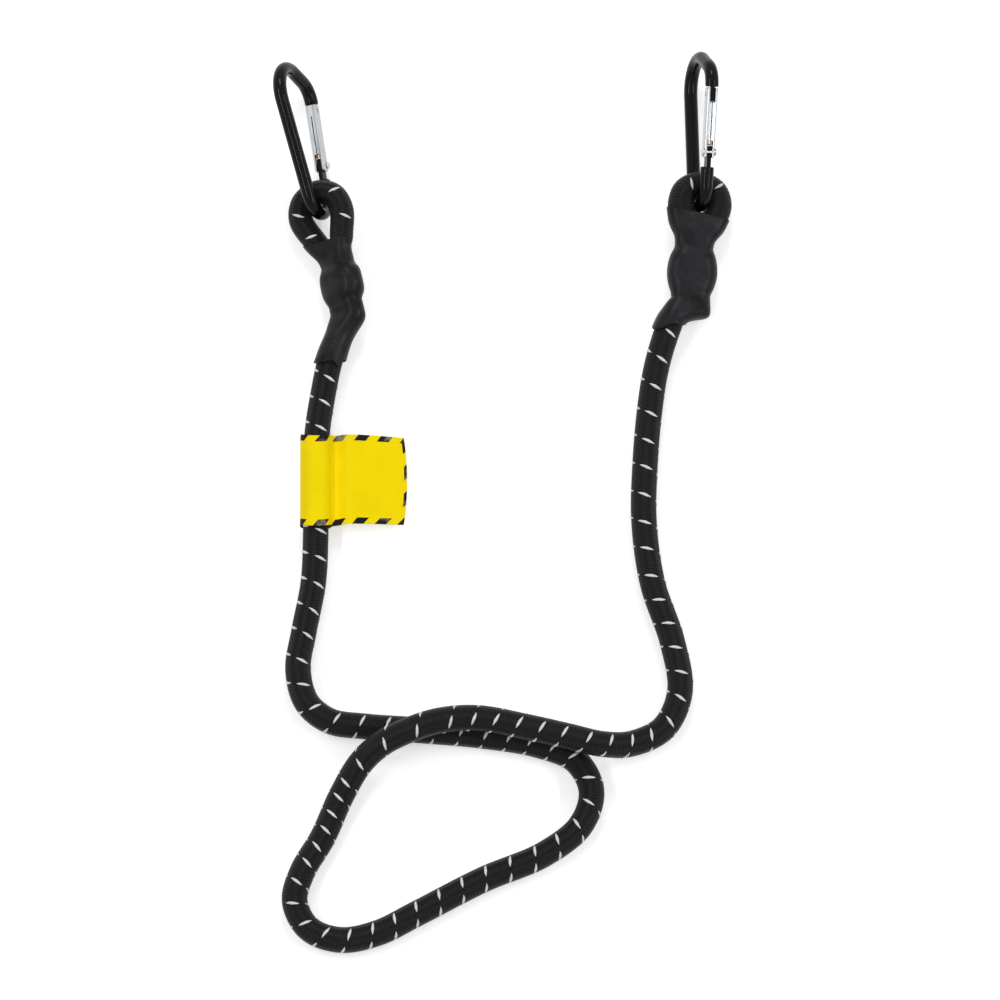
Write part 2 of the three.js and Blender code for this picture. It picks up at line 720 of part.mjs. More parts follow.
/** Place of a hook in the world: its plane stands across the cord at the top of the eye. */
function hookPlace(end) {
  const heading = rad(end.hookHeading);
  const level = point(Math.cos(heading), Math.sin(heading), 0);
  const normal = acrossOf(end.hookHeading, end.eyeRoll).multiplyScalar(end.gateDown ? 1 : -1);
  const across = new THREE.Vector3().crossVectors(level, normal);
  const rise = rad(end.hookRise);
  const way = level.clone().multiplyScalar(Math.cos(rise)).addScaledVector(across, -Math.sin(rise));
  const side = across.clone().multiplyScalar(Math.cos(rise)).addScaledVector(level, Math.sin(rise));
  return new THREE.Matrix4().makeBasis(side, way, normal).setPosition(end.pivot);
}

const hookPieces = [
  ["hook_body", hookBody, looks.anodised],
  ["gate", gate, looks.bright],
  ["hinge_rivet", rivet, looks.steel],
  ["latch_pin", latchPin, looks.steel],
  ["spring_plunger", plunger, looks.brass],
  ["gate_spring", spring, looks.steel],
];
for (const [name, end] of Object.entries(ends)) {
  const place = hookPlace(end);
  for (const [piece, make, look] of hookPieces) addMesh(name + "_" + piece, make().applyMatrix4(place), look);
}

// The flag tag, wrapped round the left strand and stuck to itself

const tagInside = cordCorner + gap + tagSlack;
const tagOutside = tagInside + tagWrap;
const tagPlace = point(tagStrand, tagMiddle, tagOutside + tableClear);

function tag() {
  const half = tagThickness / 2;
  const rootTurn = Math.asin(half / tagOutside);
  const tip = cordRadius + tagFlag;
  const shape = new THREE.Shape();
  shape.absarc(0, 0, tagOutside, rootTurn, 2 * Math.PI - rootTurn);
  shape.lineTo(tip, -half - tagDroop);
  shape.lineTo(tip, half - tagDroop);
  const bore = new THREE.Path();
  bore.absarc(0, 0, tagInside, 0, 2 * Math.PI, true);
  shape.holes.push(bore);
  const depth = tagHeight;
  const geometry = new THREE.ExtrudeGeometry(shape, { depth, bevelEnabled: false, curveSegments: 14 });
  geometry.translate(0, 0, -tagHeight / 2).rotateX(Math.PI / 2);
  return geometry.translate(tagPlace.x, tagPlace.y, tagPlace.z);
}

addMesh("flag_tag", tag(), looks.vinyl);

/** Places that joints turn or slide about, and the middle of the flat under each crown's slope. */
export const jointPlaces = Object.fromEntries(
  Object.entries(ends).map(([name, end]) => {
    const place = hookPlace(end);
    const onGate = (x, y) => point(x, y).applyMatrix4(alongGate).applyMatrix4(place);
    const slope = crownEnd.clone().addScaledVector(slopeWay, slopeLength / 2);
    slope.addScaledVector(slopeOut, -barThickness / 2);
    const contact = tongueTop + plungerTip; // height of the plunger's rounding above the rivet
    const plungerRise = (angle) => (contact + rivetOffset * Math.sin(angle)) / Math.cos(angle);
    const facts = {
      place,
      pivot: end.pivot,
      normal: point(0, 0, 1).transformDirection(place),
      rivet: onGate(rivetOffset, rivetHeight),
      up: point(0, 1, 0).transformDirection(alongGate).transformDirection(place),
      slope: point(slope.x, slope.y).applyMatrix4(place),
      slopeFacing: point(-slopeOut.x, -slopeOut.y).transformDirection(place),
      plungerRise,
    };
    return [name, facts];
  }),
);

export default group;
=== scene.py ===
"""Looks of a bungee cord with a snap hook at each end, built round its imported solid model.

Sizes and places are written in millimetres, as the solid model's are, and turned to metres when a mesh is
made.
+Z is up, the table is z = 0 and the camera looks almost straight down.
"""

import math

import bpy
import numpy as np
from bpy.props import FloatProperty, FloatVectorProperty, IntProperty, PointerProperty
from mathutils import Matrix, Vector


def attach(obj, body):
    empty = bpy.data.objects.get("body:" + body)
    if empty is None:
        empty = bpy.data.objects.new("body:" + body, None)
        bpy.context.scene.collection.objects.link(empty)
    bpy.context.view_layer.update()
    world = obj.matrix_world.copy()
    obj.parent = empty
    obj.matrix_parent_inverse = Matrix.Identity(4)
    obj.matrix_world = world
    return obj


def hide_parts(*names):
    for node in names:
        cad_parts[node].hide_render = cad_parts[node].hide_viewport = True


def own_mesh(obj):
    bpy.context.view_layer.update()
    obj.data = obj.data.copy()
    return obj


bl_info = {
    "name": "Bungee cord with snap hooks",
    "version": (1, 0, 0),
    "blender": (4, 5, 0),
    "location": "3D View > Sidebar > Bungee",
    "description": "Dresses the solid model of a bungee cord: braid, tracer, sleeves, hooks and flag tag",
    "category": "Object",
}

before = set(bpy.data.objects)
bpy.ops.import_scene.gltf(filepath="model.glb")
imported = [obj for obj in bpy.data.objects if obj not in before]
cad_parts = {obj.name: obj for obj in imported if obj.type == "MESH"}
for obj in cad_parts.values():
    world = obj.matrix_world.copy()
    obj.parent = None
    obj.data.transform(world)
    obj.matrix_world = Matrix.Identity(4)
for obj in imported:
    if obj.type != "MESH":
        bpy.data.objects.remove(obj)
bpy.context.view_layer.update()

MM = 0.001
SIDES = ("left", "right")
UP = np.array([0.0, 0.0, 1.0])
TINY = 1e-9  # keeps a direction from having no length


# Sizes and colours that a user would change


def length_property(name, description, millimetres):
    return FloatProperty(
        name=name, description=description, default=millimetres * MM, min=0, precision=5, unit="LENGTH"
    )


def colour_property(name, description, colour):
    return FloatVectorProperty(
        name=name, description=description, default=colour, size=3, min=0, max=1, subtype="COLOR"
    )


class CordSettings(bpy.types.PropertyGroup):
    """The braided sheath and its tracer yarn."""

    thickness: length_property("Thickness", "Across the braided sheath", 9.5)
    lanes: IntProperty(name="Lanes", description="Lanes of yarn round the sheath", default=10, min=4, max=24)
    rib_pitch: length_property("Rib pitch", "From one yarn to the next along a lane", 1.0)
    rib_height: length_property("Rib height", "How far a yarn stands out of its lane", 0.11)
    groove: length_property("Groove", "Depth of the grooves between the lanes", 0.1)
    fleck_length: length_property("Fleck length", "Length of tracer seen where it comes to the surface", 5.3)
    fleck_width: length_property("Fleck width", "Width of the tracer yarn", 1.3)
    fleck_slant: FloatProperty(
        name="Fleck slant", description="Turn of a fleck from straight across", default=0.31, subtype="ANGLE"
    )
    braid_colour: colour_property("Braid", "Colour of the sheath's yarn", (0.0048, 0.0047, 0.0052))
    # Lighter colour laid on the lane crowns and ribs of the braid: a painted sheen.
    sheen_colour: colour_property("Painted braid sheen", "Colour of the raised filaments", (0.026, 0.025, 0.028))
    tracer_colour: colour_property("Tracer", "Colour of the reflective yarn", (0.83, 0.85, 0.88))
    rubber_colour: colour_property("Rubber", "Colour of the stretchy core", (0.42, 0.33, 0.19))


class SleeveSettings(bpy.types.PropertyGroup):
    """The shrunk sleeves over the doubled ends, and the crimps inside them."""

    wall: length_property("Wall", "Thickness of a shrunk sleeve", 0.6)
    crease_depth: length_property("Creases", "Depth of the creases at a crimp", 0.22)
    colour: colour_property("Sleeve", "Colour of the shrunk tube", (0.0105, 0.0099, 0.0120))
    crimp_colour: colour_property("Crimp", "Colour of the crimped steel", (0.42, 0.43, 0.44))


class HookSettings(bpy.types.PropertyGroup):
    """The snap hooks with their gates, rivets, pins, plungers and springs."""

    bar_thickness: length_property("Bar", "Thickness of the hook's round bar", 5.0)
    seam: length_property("Gate seam", "Width of the seam down the gate's faces", 0.42)
    bar_colour: colour_property("Bar colour", "Colour of the anodised bar", (0.0025, 0.0026, 0.0026))
    gate_colour: colour_property("Gate colour", "Colour of the polished gate", (0.53, 0.55, 0.56))
    steel_colour: colour_property("Steel", "Colour of rivets, pins and springs", (0.62, 0.62, 0.63))
    brass_colour: colour_property("Plunger", "Colour of the brass plunger", (0.75, 0.52, 0.36))


class TagSettings(bpy.types.PropertyGroup):
    """The flag tag stuck round the left strand."""

    height: length_property("Height", "Of the tag along the strand", 34.3)
    flag: length_property("Flag", "From the cord's side to the free edge", 28.5)
    border: length_property("Border", "Width of the striped border", 2.3)
    stripe: length_property("Stripe pitch", "From one dark stripe to the next", 8.9)
    yellow: colour_property("Vinyl", "Colour of the tag", (1.0, 0.77, 0.0))
    black: colour_property("Stripes", "Colour of the border's stripes", (0.012, 0.012, 0.011))


class StageSettings(bpy.types.PropertyGroup):
    """The camera, the floor and the light."""

    frame_width: length_property("Frame", "Width of table that the picture shows", 366.0)
    camera_height: length_property("Camera height", "Above the table", 6000.0)
    key_power: FloatProperty(name="Soft box", description="Power of each soft box", default=6.6, unit="POWER")
    sky_strength: FloatProperty(name="Sky", description="Strength of the even light", default=0.36, min=0)
    floor_colour: colour_property("Floor", "Colour of the floor", (0.86, 0.86, 0.86))


# Route of the cord, as in the solid model

GAP = 0.3  # air between pieces that lie against each other
CORD_RADIUS = 4.75  # to the flats of the solid model's sheath
CORD_CORNER = CORD_RADIUS / math.cos(math.pi / 12)  # to its twelve corners
CRIMP_SQUEEZE = 0.52  # share of the cord's thickness left inside a crimp
BULGE_SQUEEZE = 0.8  # between the two crimps
TAIL_FLARE = 0.78  # at the cut tail
NECK_SQUEEZE = 0.92  # above the upper crimp
LOWER_SQUEEZE = 0.84  # beside the cut tail
CRIMP_WIDTH = 2.8
CRIMP_PLATEAU = 0.75  # half length of the squeezed stretch, in crimp widths
CRIMP_SLACK = 0.15
CRIMP_THICKNESS = 1.0
CRIMP_OUTSIDE = CORD_CORNER * CRIMP_SQUEEZE + GAP + CRIMP_SLACK + CRIMP_THICKNESS
EYE_HIGH = 0.3  # first pair of points below the top of an eye, in half widths of the eye
EYE_HIGH_WIDTH = 0.74  # share of the eye's width there
NECK_PLACE = 0.48  # of the neck between the shoulder of an eye and its crimp
NECK_WIDTH = 0.6  # share of the crimped width that is added at the neck
LINE_STEPS = 60  # steps in which the length between two stops is measured

ENDS = {
    "left": dict(
        pivot=(-68.8, 116.8, 10.75),
        hook_heading=98.5,
        hook_rise=18,
        gate_down=True,
        eye_roll=25,
        eye_half_width=8.3,
        eye_squeeze=0.95,
        eye_crimp=(-60.9, 89.2, 8.4),
        tail_crimp=(-58.1, 75.4, 7.7),
        bulge_height=8.5,
        crimp_roll=50,
        tail_end=(-54.7, 69.9, 8.4),
        mouth=(-63.8, 53.3, 6.4),
        mouth_lean=(3.2, 9.9, 0),
        sleeve_top=3,
        sleeve_slant=0.15,
    ),
    "right": dict(
        pivot=(72.2, 120.3, 10.3),
        hook_heading=91.7,
        hook_rise=0,
        gate_down=False,
        eye_roll=-16,
        eye_half_width=7.7,
        eye_squeeze=0.93,
        eye_crimp=(69.8, 96.2, 6.6),
        tail_crimp=(68.6, 79.5, 5.8),
        bulge_height=6.1,
        crimp_roll=-10,
        tail_end=(72.6, 71.9, 5.9),
        mouth=(60.8, 67.4, 6.4),
        mouth_lean=(2.3, 4.6, 0),
        sleeve_top=2.45,
        sleeve_slant=-0.1,
    ),
}

# Free run from the left sleeve's mouth to the right one: x, y and the lift above the table
FREE_RUN = [
    (-66.4, 40.4, 0.6), (-68.3, 26.7, 1.32), (-68.9, 9, 1.32), (-68.8, -11.8, 1.32), (-69.6, -30.2, 0.2),
    (-73, -48.9, 0), (-75.1, -63.5, 0), (-71.8, -75.9, 0), (-63.4, -82.8, 0), (-50.9, -84.8, 0),
    (-30.4, -86.3, 0), (-7.4, -88.4, 0), (12.6, -91.9, 0), (26.2, -97.8, 0), (31.9, -109.2, 0),
    (28, -122.1, 0), (14.6, -133, 0), (-7.4, -142.5, 0), (-31.4, -155.2, 0), (-45.9, -162.6, 0),
    (-59.4, -165.2, 0), (-70.8, -161, 0), (-76, -150.8, 0), (-73.4, -139.9, 0), (-65.9, -126.7, 0),
    (-59, -110.9, 0.8), (-52, -99.8, 4.8), (-44, -93.6, 9.4), (-34.4, -89.1, 10.9), (-23.2, -85.4, 10.5),
    (-9.4, -84.3, 9.7), (8.6, -87.7, 9.7), (23.6, -91.1, 9.4), (35.6, -93.1, 6.2), (46.6, -91.7, 1.4),
    (58.4, -85.3, 0), (64.2, -71.8, 0), (61.6, -53.1, 0), (54.4, -30.7, 0), (51.3, -7.3, 0),
    (51.8, 15.6, 0), (53.6, 36.4, 0), (56.2, 52.4, 0.4),
]  # fmt: skip


def unit(vector):
    vector = np.asarray(vector, float)
    return vector / np.linalg.norm(vector, axis=-1, keepdims=True)


def blend_step(share):
    share = np.clip(share, 0, 1)
    return share * share * (3 - 2 * share)


def across_of(heading, roll):
    """Level direction to the right of a heading, tipped up by the roll, both in degrees."""
    turn, tip = math.radians(heading), math.radians(roll)
    level = np.array([math.sin(turn), -math.cos(turn), 0])
    return level * math.cos(tip) + UP * math.sin(tip)


def leg_apart(squeeze):
    return 2 * CORD_CORNER * squeeze + GAP


def frames_of(end):
    """Directions of one doubled end: along the crimps, across its legs, and across the top of the eye."""
    along = unit(np.subtract(end["eye_crimp"], end["tail_crimp"]))
    across = across_of(math.degrees(math.atan2(along[1], along[0])), end["crimp_roll"])
    across = unit(across - along * across.dot(along))
    return along, across, across_of(end["hook_heading"], end["eye_roll"])


def stations_of(end):
    """Stations down one doubled end: the standing leg, the tail leg and the cord's squeeze there."""
    along, across, eye_across = frames_of(end)
    pivot, eye_crimp, tail_crimp = (np.array(end[k], float) for k in ("pivot", "eye_crimp", "tail_crimp"))
    width, squeeze = end["eye_half_width"], end["eye_squeeze"]
    down = eye_crimp - pivot
    down = unit(down - eye_across * down.dot(eye_across))
    shoulder = pivot + down * width
    high = pivot + down * width * EYE_HIGH
    neck = shoulder + (eye_crimp - shoulder) * NECK_PLACE
    bulge = (eye_crimp + tail_crimp) / 2
    bulge[2] = end["bulge_height"]
    half_crimp = along * CRIMP_WIDTH * CRIMP_PLATEAU
    tight = leg_apart(CRIMP_SQUEEZE)
    middles = [
        (high, eye_across, 2 * width * EYE_HIGH_WIDTH, squeeze),
        (shoulder, eye_across, 2 * width, squeeze),
        (neck, unit(eye_across + across), width + tight * NECK_WIDTH, NECK_SQUEEZE),
        (eye_crimp + half_crimp, across, tight, CRIMP_SQUEEZE),
        (eye_crimp - half_crimp, across, tight, CRIMP_SQUEEZE),
        (bulge, across, leg_apart(BULGE_SQUEEZE), BULGE_SQUEEZE),
        (tail_crimp + half_crimp, across, tight, CRIMP_SQUEEZE),
        (tail_crimp - half_crimp, across, tight, CRIMP_SQUEEZE),
    ]
    stations = [(m - d * apart / 2, m + d * apart / 2, s) for m, d, apart, s in middles]
    lower = np.add(end["mouth"], end["mouth_lean"])
    return [*stations, (lower, np.array(end["tail_end"], float), TAIL_FLARE)]


def end_route(end):
    """Points and squeezes of the cord round one end, from the cut tail to the sleeve's mouth."""
    stations = stations_of(end)
    route = [(tail, squeeze) for _, tail, squeeze in reversed(stations)]
    route.append((np.array(end["pivot"], float), end["eye_squeeze"]))
    route += [(standing, squeeze) for standing, _, squeeze in stations]
    route[-1] = (route[-1][0], LOWER_SQUEEZE)
    route.append((np.array(end["mouth"], float), 1.0))
    return route


def whole_route():
    left, right = (end_route(ENDS[side]) for side in SIDES)
    run = [(np.array([x, y, CORD_RADIUS + lift]), 1.0) for x, y, lift in FREE_RUN]
    return left + run + right[::-1]


ROUTE = whole_route()
STOPS = np.array([place for place, _ in ROUTE])
SQUEEZES = np.array([squeeze for _, squeeze in ROUTE])
LAST_STOP = len(ROUTE) - 1
APEX = 9  # stop at the top of the left eye, counted from the cut tail
TAIL_TRIM = 0.4  # stops by which the braid ends short of the solid model's cut tails


def squeeze_at(at):
    """Share of the cord's thickness left at places counted in stops of the route."""
    start = np.clip(np.floor(at).astype(int), 0, LAST_STOP - 1)
    share = blend_step(at - start)
    return SQUEEZES[start] * (1 - share) + SQUEEZES[start + 1] * share


def cord_middle(at):
    """Middle of the cord at places counted in stops: a centripetal spline that stays off the table."""
    at = np.atleast_1d(np.asarray(at, float))
    points = np.vstack([2 * STOPS[0] - STOPS[1], STOPS, 2 * STOPS[-1] - STOPS[-2]])
    start = np.clip(np.floor(at).astype(int), 0, LAST_STOP - 1)
    p0, p1, p2, p3 = (points[start + k] for k in range(4))
    d0, d1, d2 = (np.sqrt(np.linalg.norm(b - a, axis=1))[:, None] for a, b in ((p0, p1), (p1, p2), (p2, p3)))
    leave = ((p1 - p0) / d0 - (p2 - p0) / (d0 + d1) + (p2 - p1) / d1) * d1
    reach = ((p2 - p1) / d1 - (p3 - p1) / (d1 + d2) + (p3 - p2) / d2) * d1
    t = (at - start)[:, None]
    square = 3 * (p2 - p1) - 2 * leave - reach
    cube = 2 * (p1 - p2) + leave + reach
    middle = p1 + leave * t + square * t**2 + cube * t**3
    middle[:, 2] = np.maximum(middle[:, 2], CORD_RADIUS * squeeze_at(at))
    return middle


def even_line(step):
    """Places along the whole cord at an even step, with their stop numbers, squeezes and directions."""
    fine = np.linspace(0, LAST_STOP, LAST_STOP * LINE_STEPS + 1)
    places = cord_middle(fine)
    along = np.concatenate([[0], np.cumsum(np.linalg.norm(np.diff(places, axis=0), axis=1))])
    start, end = np.interp([TAIL_TRIM, LAST_STOP - TAIL_TRIM], fine, along)
    count = int((end - start) / step)
    at = np.interp(np.linspace(start, end, count + 1), along, fine)
    middle = cord_middle(at)
    forward = unit(np.gradient(middle, axis=0))
    across = unit(np.cross(forward, UP))
    over = np.cross(across, forward)
    line = dict(at=at, start=start, length=end - start, middle=middle, squeeze=squeeze_at(at))
    return line | dict(forward=forward, across=across, over=over)


# Meshes and node trees


def grid_faces(rings, sides):
    """Four-sided faces between rings of points, facing out when the rings turn to the left of their way."""
    ring = np.arange(rings - 1)[:, None] * sides
    side = np.arange(sides)[None, :]
    following = (side + 1) % sides
    corners = [ring + side, ring + following, ring + sides + following, ring + sides + side]
    return np.stack([c.ravel() for c in corners], axis=1)


def add_piece(name, vertices, faces, material, smooth=True):
    """A new mesh object at the origin, its vertices given in millimetres."""
    mesh = bpy.data.meshes.new(name)
    mesh.from_pydata((np.asarray(vertices, float) * MM).tolist(), [], [list(map(int, f)) for f in faces])
    mesh.validate()
    mesh.polygons.foreach_set("use_smooth", [smooth] * len(mesh.polygons))
    mesh.materials.append(material)
    piece = bpy.data.objects.new(name, mesh)
    bpy.context.scene.collection.objects.link(piece)
    return piece


def capped_tube(rings):
    """Vertices and faces of a tube through an array of rings, closed by a fan at each end."""
    count, sides, _ = rings.shape
    vertices = np.vstack([rings.reshape(-1, 3), rings[0].mean(0), rings[-1].mean(0)])
    faces = grid_faces(count, sides).tolist()
    first, last = count * sides, count * sides + 1
    end = (count - 1) * sides
    for side in range(sides):
        following = (side + 1) % sides
        faces.append([first, following, side])
        faces.append([last, end + side, end + following])
    return vertices, faces


def set_map(piece, name, places):
    """A UV map from one place for each corner of each face."""
    layer = piece.data.uv_layers.new(name=name)
    layer.data.foreach_set("uv", np.asarray(places, float).ravel())


def plain_mesh(piece):
    """Turns an object with modifiers into a plain mesh, and removes the modifiers."""
    bpy.context.view_layer.update()
    graph = bpy.context.evaluated_depsgraph_get()
    made = bpy.data.meshes.new_from_object(piece.evaluated_get(graph))
    piece.modifiers.clear()
    old = piece.data
    made.name = piece.name
    piece.data = made
    bpy.data.meshes.remove(old)
    return piece


class TreeBuilder:
    """Adds nodes to a node tree and links them, so that a formula reads in one line."""

    def __init__(self, tree):
        self.tree = tree

    def add(self, kind, inputs=(), **settings):
        node = self.tree.nodes.new(kind)
        for key, value in settings.items():
            setattr(node, key, value)
        pairs = inputs.items() if isinstance(inputs, dict) else enumerate(inputs)
        for key, value in pairs:
            self.put(node.inputs[key], value)
        return node

    def put(self, socket, value):
        if isinstance(value, bpy.types.NodeSocket):
            self.tree.links.new(value, socket)
        elif value is not None:
            socket.default_value = value

    def math(self, operation, *values, clamp=False):
        kind = "ShaderNodeMath"
        return self.add(kind, values, operation=operation, use_clamp=clamp).outputs[0]

    def times(self, first, *more):
        for value in more:
            first = self.math("MULTIPLY", first, value)
        return first

    def plus(self, first, *more):
        for value in more:
            first = self.math("ADD", first, value)
        return first


# The braided sheath, its tracer yarn and the rubber core

ROUND_STEPS = 4  # corners of the sheath in each lane
TRACER = [
    # millimetres along the cord, turns of the tracer up to there, and the angle of its rows in degrees
    (0, 0, 73), (38, 4, 73), (76, 8, 80), (134, 14, 111), (154, 16, 109), (223, 23, 124), (262, 27, 98),
    (291, 30, 107), (327, 34, 88), (360, 38, 95), (408, 43, 64), (456, 48, 67), (492, 52, 80), (509, 54, 105),
    (525, 56, 82), (559, 61, 95), (568, 62, 79), (592, 64, 57), (605, 65, 59), (631, 68, 91), (664, 72, 100),
    (690, 75, 77), (747, 81, 92), (809, 87, 79), (841, 90, 65), (887, 95, 78), (900, 96, 84), (910, 98, 115),
]  # fmt: skip
MOUTH_STOP = 19  # stop at the left sleeve's mouth
SEAT_VALUES = [
    # what each fleck's seat carries: name, kind and field of the values
    ("facing", "FLOAT_VECTOR", "vector"),
    ("along", "FLOAT_VECTOR", "vector"),
    ("size", "FLOAT", "value"),
]
FLECKS_A_TURN = 4  # times that the tracer comes to the surface in one turn round the cord
FLECK_HEIGHT = 0.3
FLECK_SINK = 0.08  # by which a fleck is sunk in the braid
HIDDEN_EDGE = 0.1  # stops from a sleeve's upper edge within which a fleck still shows
HIDDEN_MOUTH = 0.25  # stops past the mouth in which no fleck shows
EYE_REACH = 3.2  # stops from the top of an eye to its end
EYE_FACING = 0.45  # least upward lean of a fleck in an eye
# The sheath's swelling in the right eye is partly a real bunching of the braid and partly a dark fill
# standing in for the shade in the eye's hole.
BUNCH_MOST = 1.8  # by which the sheath bunches up inside the right eye
BUNCH_REACH = 3.6  # stops from the top of the eye to where that ends
BUNCH_GAP = 0.25  # air left to the hook and to the other leg
CORE_INSET = 1.35
CORE_SIDES = 10
CORE_STEP = 2.0


def rings_round(line, radius, turn):
    """Rings of points round a line, at a radius for each ring or point and at the given turns."""
    wide = (radius * np.cos(turn))[..., None] * line["across"][:, None]
    high = (radius * np.sin(turn))[..., None] * line["over"][:, None]
    return (line["middle"][:, None] + wide + high)[:, ::-1]


def sheath_rings(line, settings):
    """Rings of the sheath with the yarns' relief: lanes that stand out, crossed by ribs laid like bricks."""
    sides = settings.lanes * ROUND_STEPS
    side, ring = np.arange(sides), np.arange(len(line["at"]))[:, None]
    lane, place = side // ROUND_STEPS, (side % ROUND_STEPS) / ROUND_STEPS
    crest = np.sin(math.pi * place)
    brick = np.cos(2 * math.pi * (place - 0.5)) * (-1.0) ** (ring + lane)
    relief = (crest - 1) * settings.groove / MM + brick * settings.rib_height / MM / 2
    radius = (settings.thickness / MM / 2 + relief) * line["squeeze"][:, None]
    return rings_round(line, radius, 2 * math.pi * (side + 0.5) / sides)


def bunched_to_fill_shade(rings, line, bar):
    """Rings of the sheath, which bunches up on the inner side of the right eye but stays clear of the hook's
    bar; the swelling is partly real and partly a dark fill standing in for the shade in the eye's hole.
    """
    plan = hook_plan(bar)
    hook, _ = hook_place(ENDS["right"], plan)
    bar_line = moved([(x, y, 0) for x, y in plan["line"]], hook)
    from_top = line["at"] - (LAST_STOP - APEX)
    eye = np.flatnonzero(np.abs(from_top) < BUNCH_REACH)
    middle, corners = line["middle"][eye, None], rings[eye]
    across = cord_middle(LAST_STOP - APEX - from_top[eye])[:, None] - middle
    legs_apart = np.linalg.norm(across, axis=-1) / 2 - CORD_CORNER
    to_hook = np.linalg.norm(corners[:, :, None] - bar_line, axis=-1).min(-1) - bar / 2
    inward = unit(across + TINY)
    facing = np.maximum((unit(corners - middle) * inward).sum(-1), 0)
    push = np.minimum(np.minimum(legs_apart, to_hook) - BUNCH_GAP, BUNCH_MOST * facing)
    rings[eye] += np.maximum(push, 0)[..., None] * inward
    return rings


def ring_map(along, sides):
    """Places for the faces between rings: centimetres along, given for each ring, and turns round."""
    ring, side = np.meshgrid(np.arange(len(along) - 1), np.arange(sides), indexing="ij")
    ring, side = ring.ravel(), side.ravel()
    corners = [(ring, side), (ring, side + 1), (ring + 1, side + 1), (ring + 1, side)]
    return np.stack([np.stack([along[r], s / sides], axis=1) for r, s in corners], axis=1).reshape(-1, 2)


def fleck_tree():
    """Node tree that lays one bent, pointed fleck of yarn on the cord at each seat."""
    tree = bpy.data.node_groups.new("tracer_flecks", "GeometryNodeTree")
    sizes = ("Length", "Width", "Height", "Cord radius", "Slant")
    sockets = [("Seats", "Geometry"), *((name, "Float") for name in sizes), ("Material", "Material")]
    for name, kind in sockets:
        tree.interface.new_socket(name, in_out="INPUT", socket_type=f"NodeSocket{kind}")
    tree.interface.new_socket("Flecks", in_out="OUTPUT", socket_type="NodeSocketGeometry")
    make = TreeBuilder(tree)
    given = make.add("NodeGroupInput").outputs
    ball = make.add("GeometryNodeMeshUVSphere", {"Segments": 6, "Rings": 8, "Radius": 1.0}).outputs["Mesh"]
    spot = make.add("ShaderNodeSeparateXYZ", [make.add("GeometryNodeInputPosition").outputs[0]]).outputs
    lengthwise = make.times(spot["Z"], given["Length"], 0.5)
    inside = make.math("SUBTRACT", 1.0, make.times(spot["Z"], spot["Z"]))
    point = make.math("SQRT", make.math("MAXIMUM", inside, 0.0))
    sideways = make.times(spot["X"], point, given["Width"], 0.5)
    radial = make.plus(make.times(spot["Y"], given["Height"]), given["Cord radius"])
    bend = make.math("DIVIDE", lengthwise, given["Cord radius"])
    bent = make.add(
        "ShaderNodeCombineXYZ",
        [
            make.times(make.math("SINE", bend), radial),
            make.plus(sideways, make.times(lengthwise, given["Slant"])),
            make.times(make.math("COSINE", bend), radial),
        ],
    )
    fleck = make.add("GeometryNodeSetPosition", {"Geometry": ball, "Position": bent.outputs[0]}).outputs[0]

    def seat(name, kind):
        node = make.add("GeometryNodeInputNamedAttribute", {"Name": name}, data_type=kind)
        return node.outputs["Attribute"]

    facing = make.add(
        "FunctionNodeAxesToRotation",
        [seat("facing", "FLOAT_VECTOR"), seat("along", "FLOAT_VECTOR")],
        primary_axis="Z",
        secondary_axis="Y",
    ).outputs[0]
    laid = make.add(
        "GeometryNodeInstanceOnPoints",
        {"Points": given["Seats"], "Instance": fleck, "Rotation": facing, "Scale": seat("size", "FLOAT")},
    ).outputs[0]
    real = make.add("GeometryNodeRealizeInstances", [laid]).outputs[0]
    smooth = make.add("GeometryNodeSetShadeSmooth", {"Geometry": real}).outputs[0]
    dressed = make.add("GeometryNodeSetMaterial", {"Geometry": smooth, "Material": given["Material"]})
    make.add("NodeGroupOutput", [dressed.outputs[0]])
    return tree


def set_tree(piece, tree, values):
    """A nodes modifier with its inputs set by their sockets' identifiers."""
    modifier = piece.modifiers.new(tree.name, "NODES")
    modifier.node_group = tree
    for socket in tree.interface.items_tree:
        if socket.in_out == "INPUT" and socket.name in values:
            modifier[socket.identifier] = values[socket.name]
    return modifier


def under_sleeve(at):
    """True where a sleeve hides the cord, at a place counted in stops."""
    for side, stop in (("left", at), ("right", LAST_STOP - at)):
        edge = ENDS[side]["sleeve_top"] + HIDDEN_EDGE
        if stop < APEX - edge or APEX + edge < stop < MOUTH_STOP + HIDDEN_MOUTH:
            return True
    return False


def in_eye(at):
    """True in the eye at either end, where the hook presses the tracer into the braid on the inner side."""
    return min(abs(at - APEX), abs(LAST_STOP - APEX - at)) < EYE_REACH


def tracer_seats(line):
    """Where the tracer yarn comes to the surface: middle of the cord, way out, way along and squeeze."""
    along, turns, angles = np.array(TRACER, float).T
    seats = []
    for number in range(int(turns[-1] * FLECKS_A_TURN) + 1):
        place = np.interp(number / FLECKS_A_TURN, turns, along)
        index = int(round((place - line["start"]) / line["length"] * (len(line["at"]) - 1)))
        if not 0 <= index < len(line["at"]) or under_sleeve(line["at"][index]):
            continue
        turn = math.radians(np.interp(place, along, angles) + 360 / FLECKS_A_TURN * number)
        facing = line["across"][index] * math.cos(turn) + line["over"][index] * math.sin(turn)
        if in_eye(line["at"][index]) and facing[2] < EYE_FACING:
            continue
        seats.append((line["middle"][index], facing, line["forward"][index], line["squeeze"][index]))
    return seats


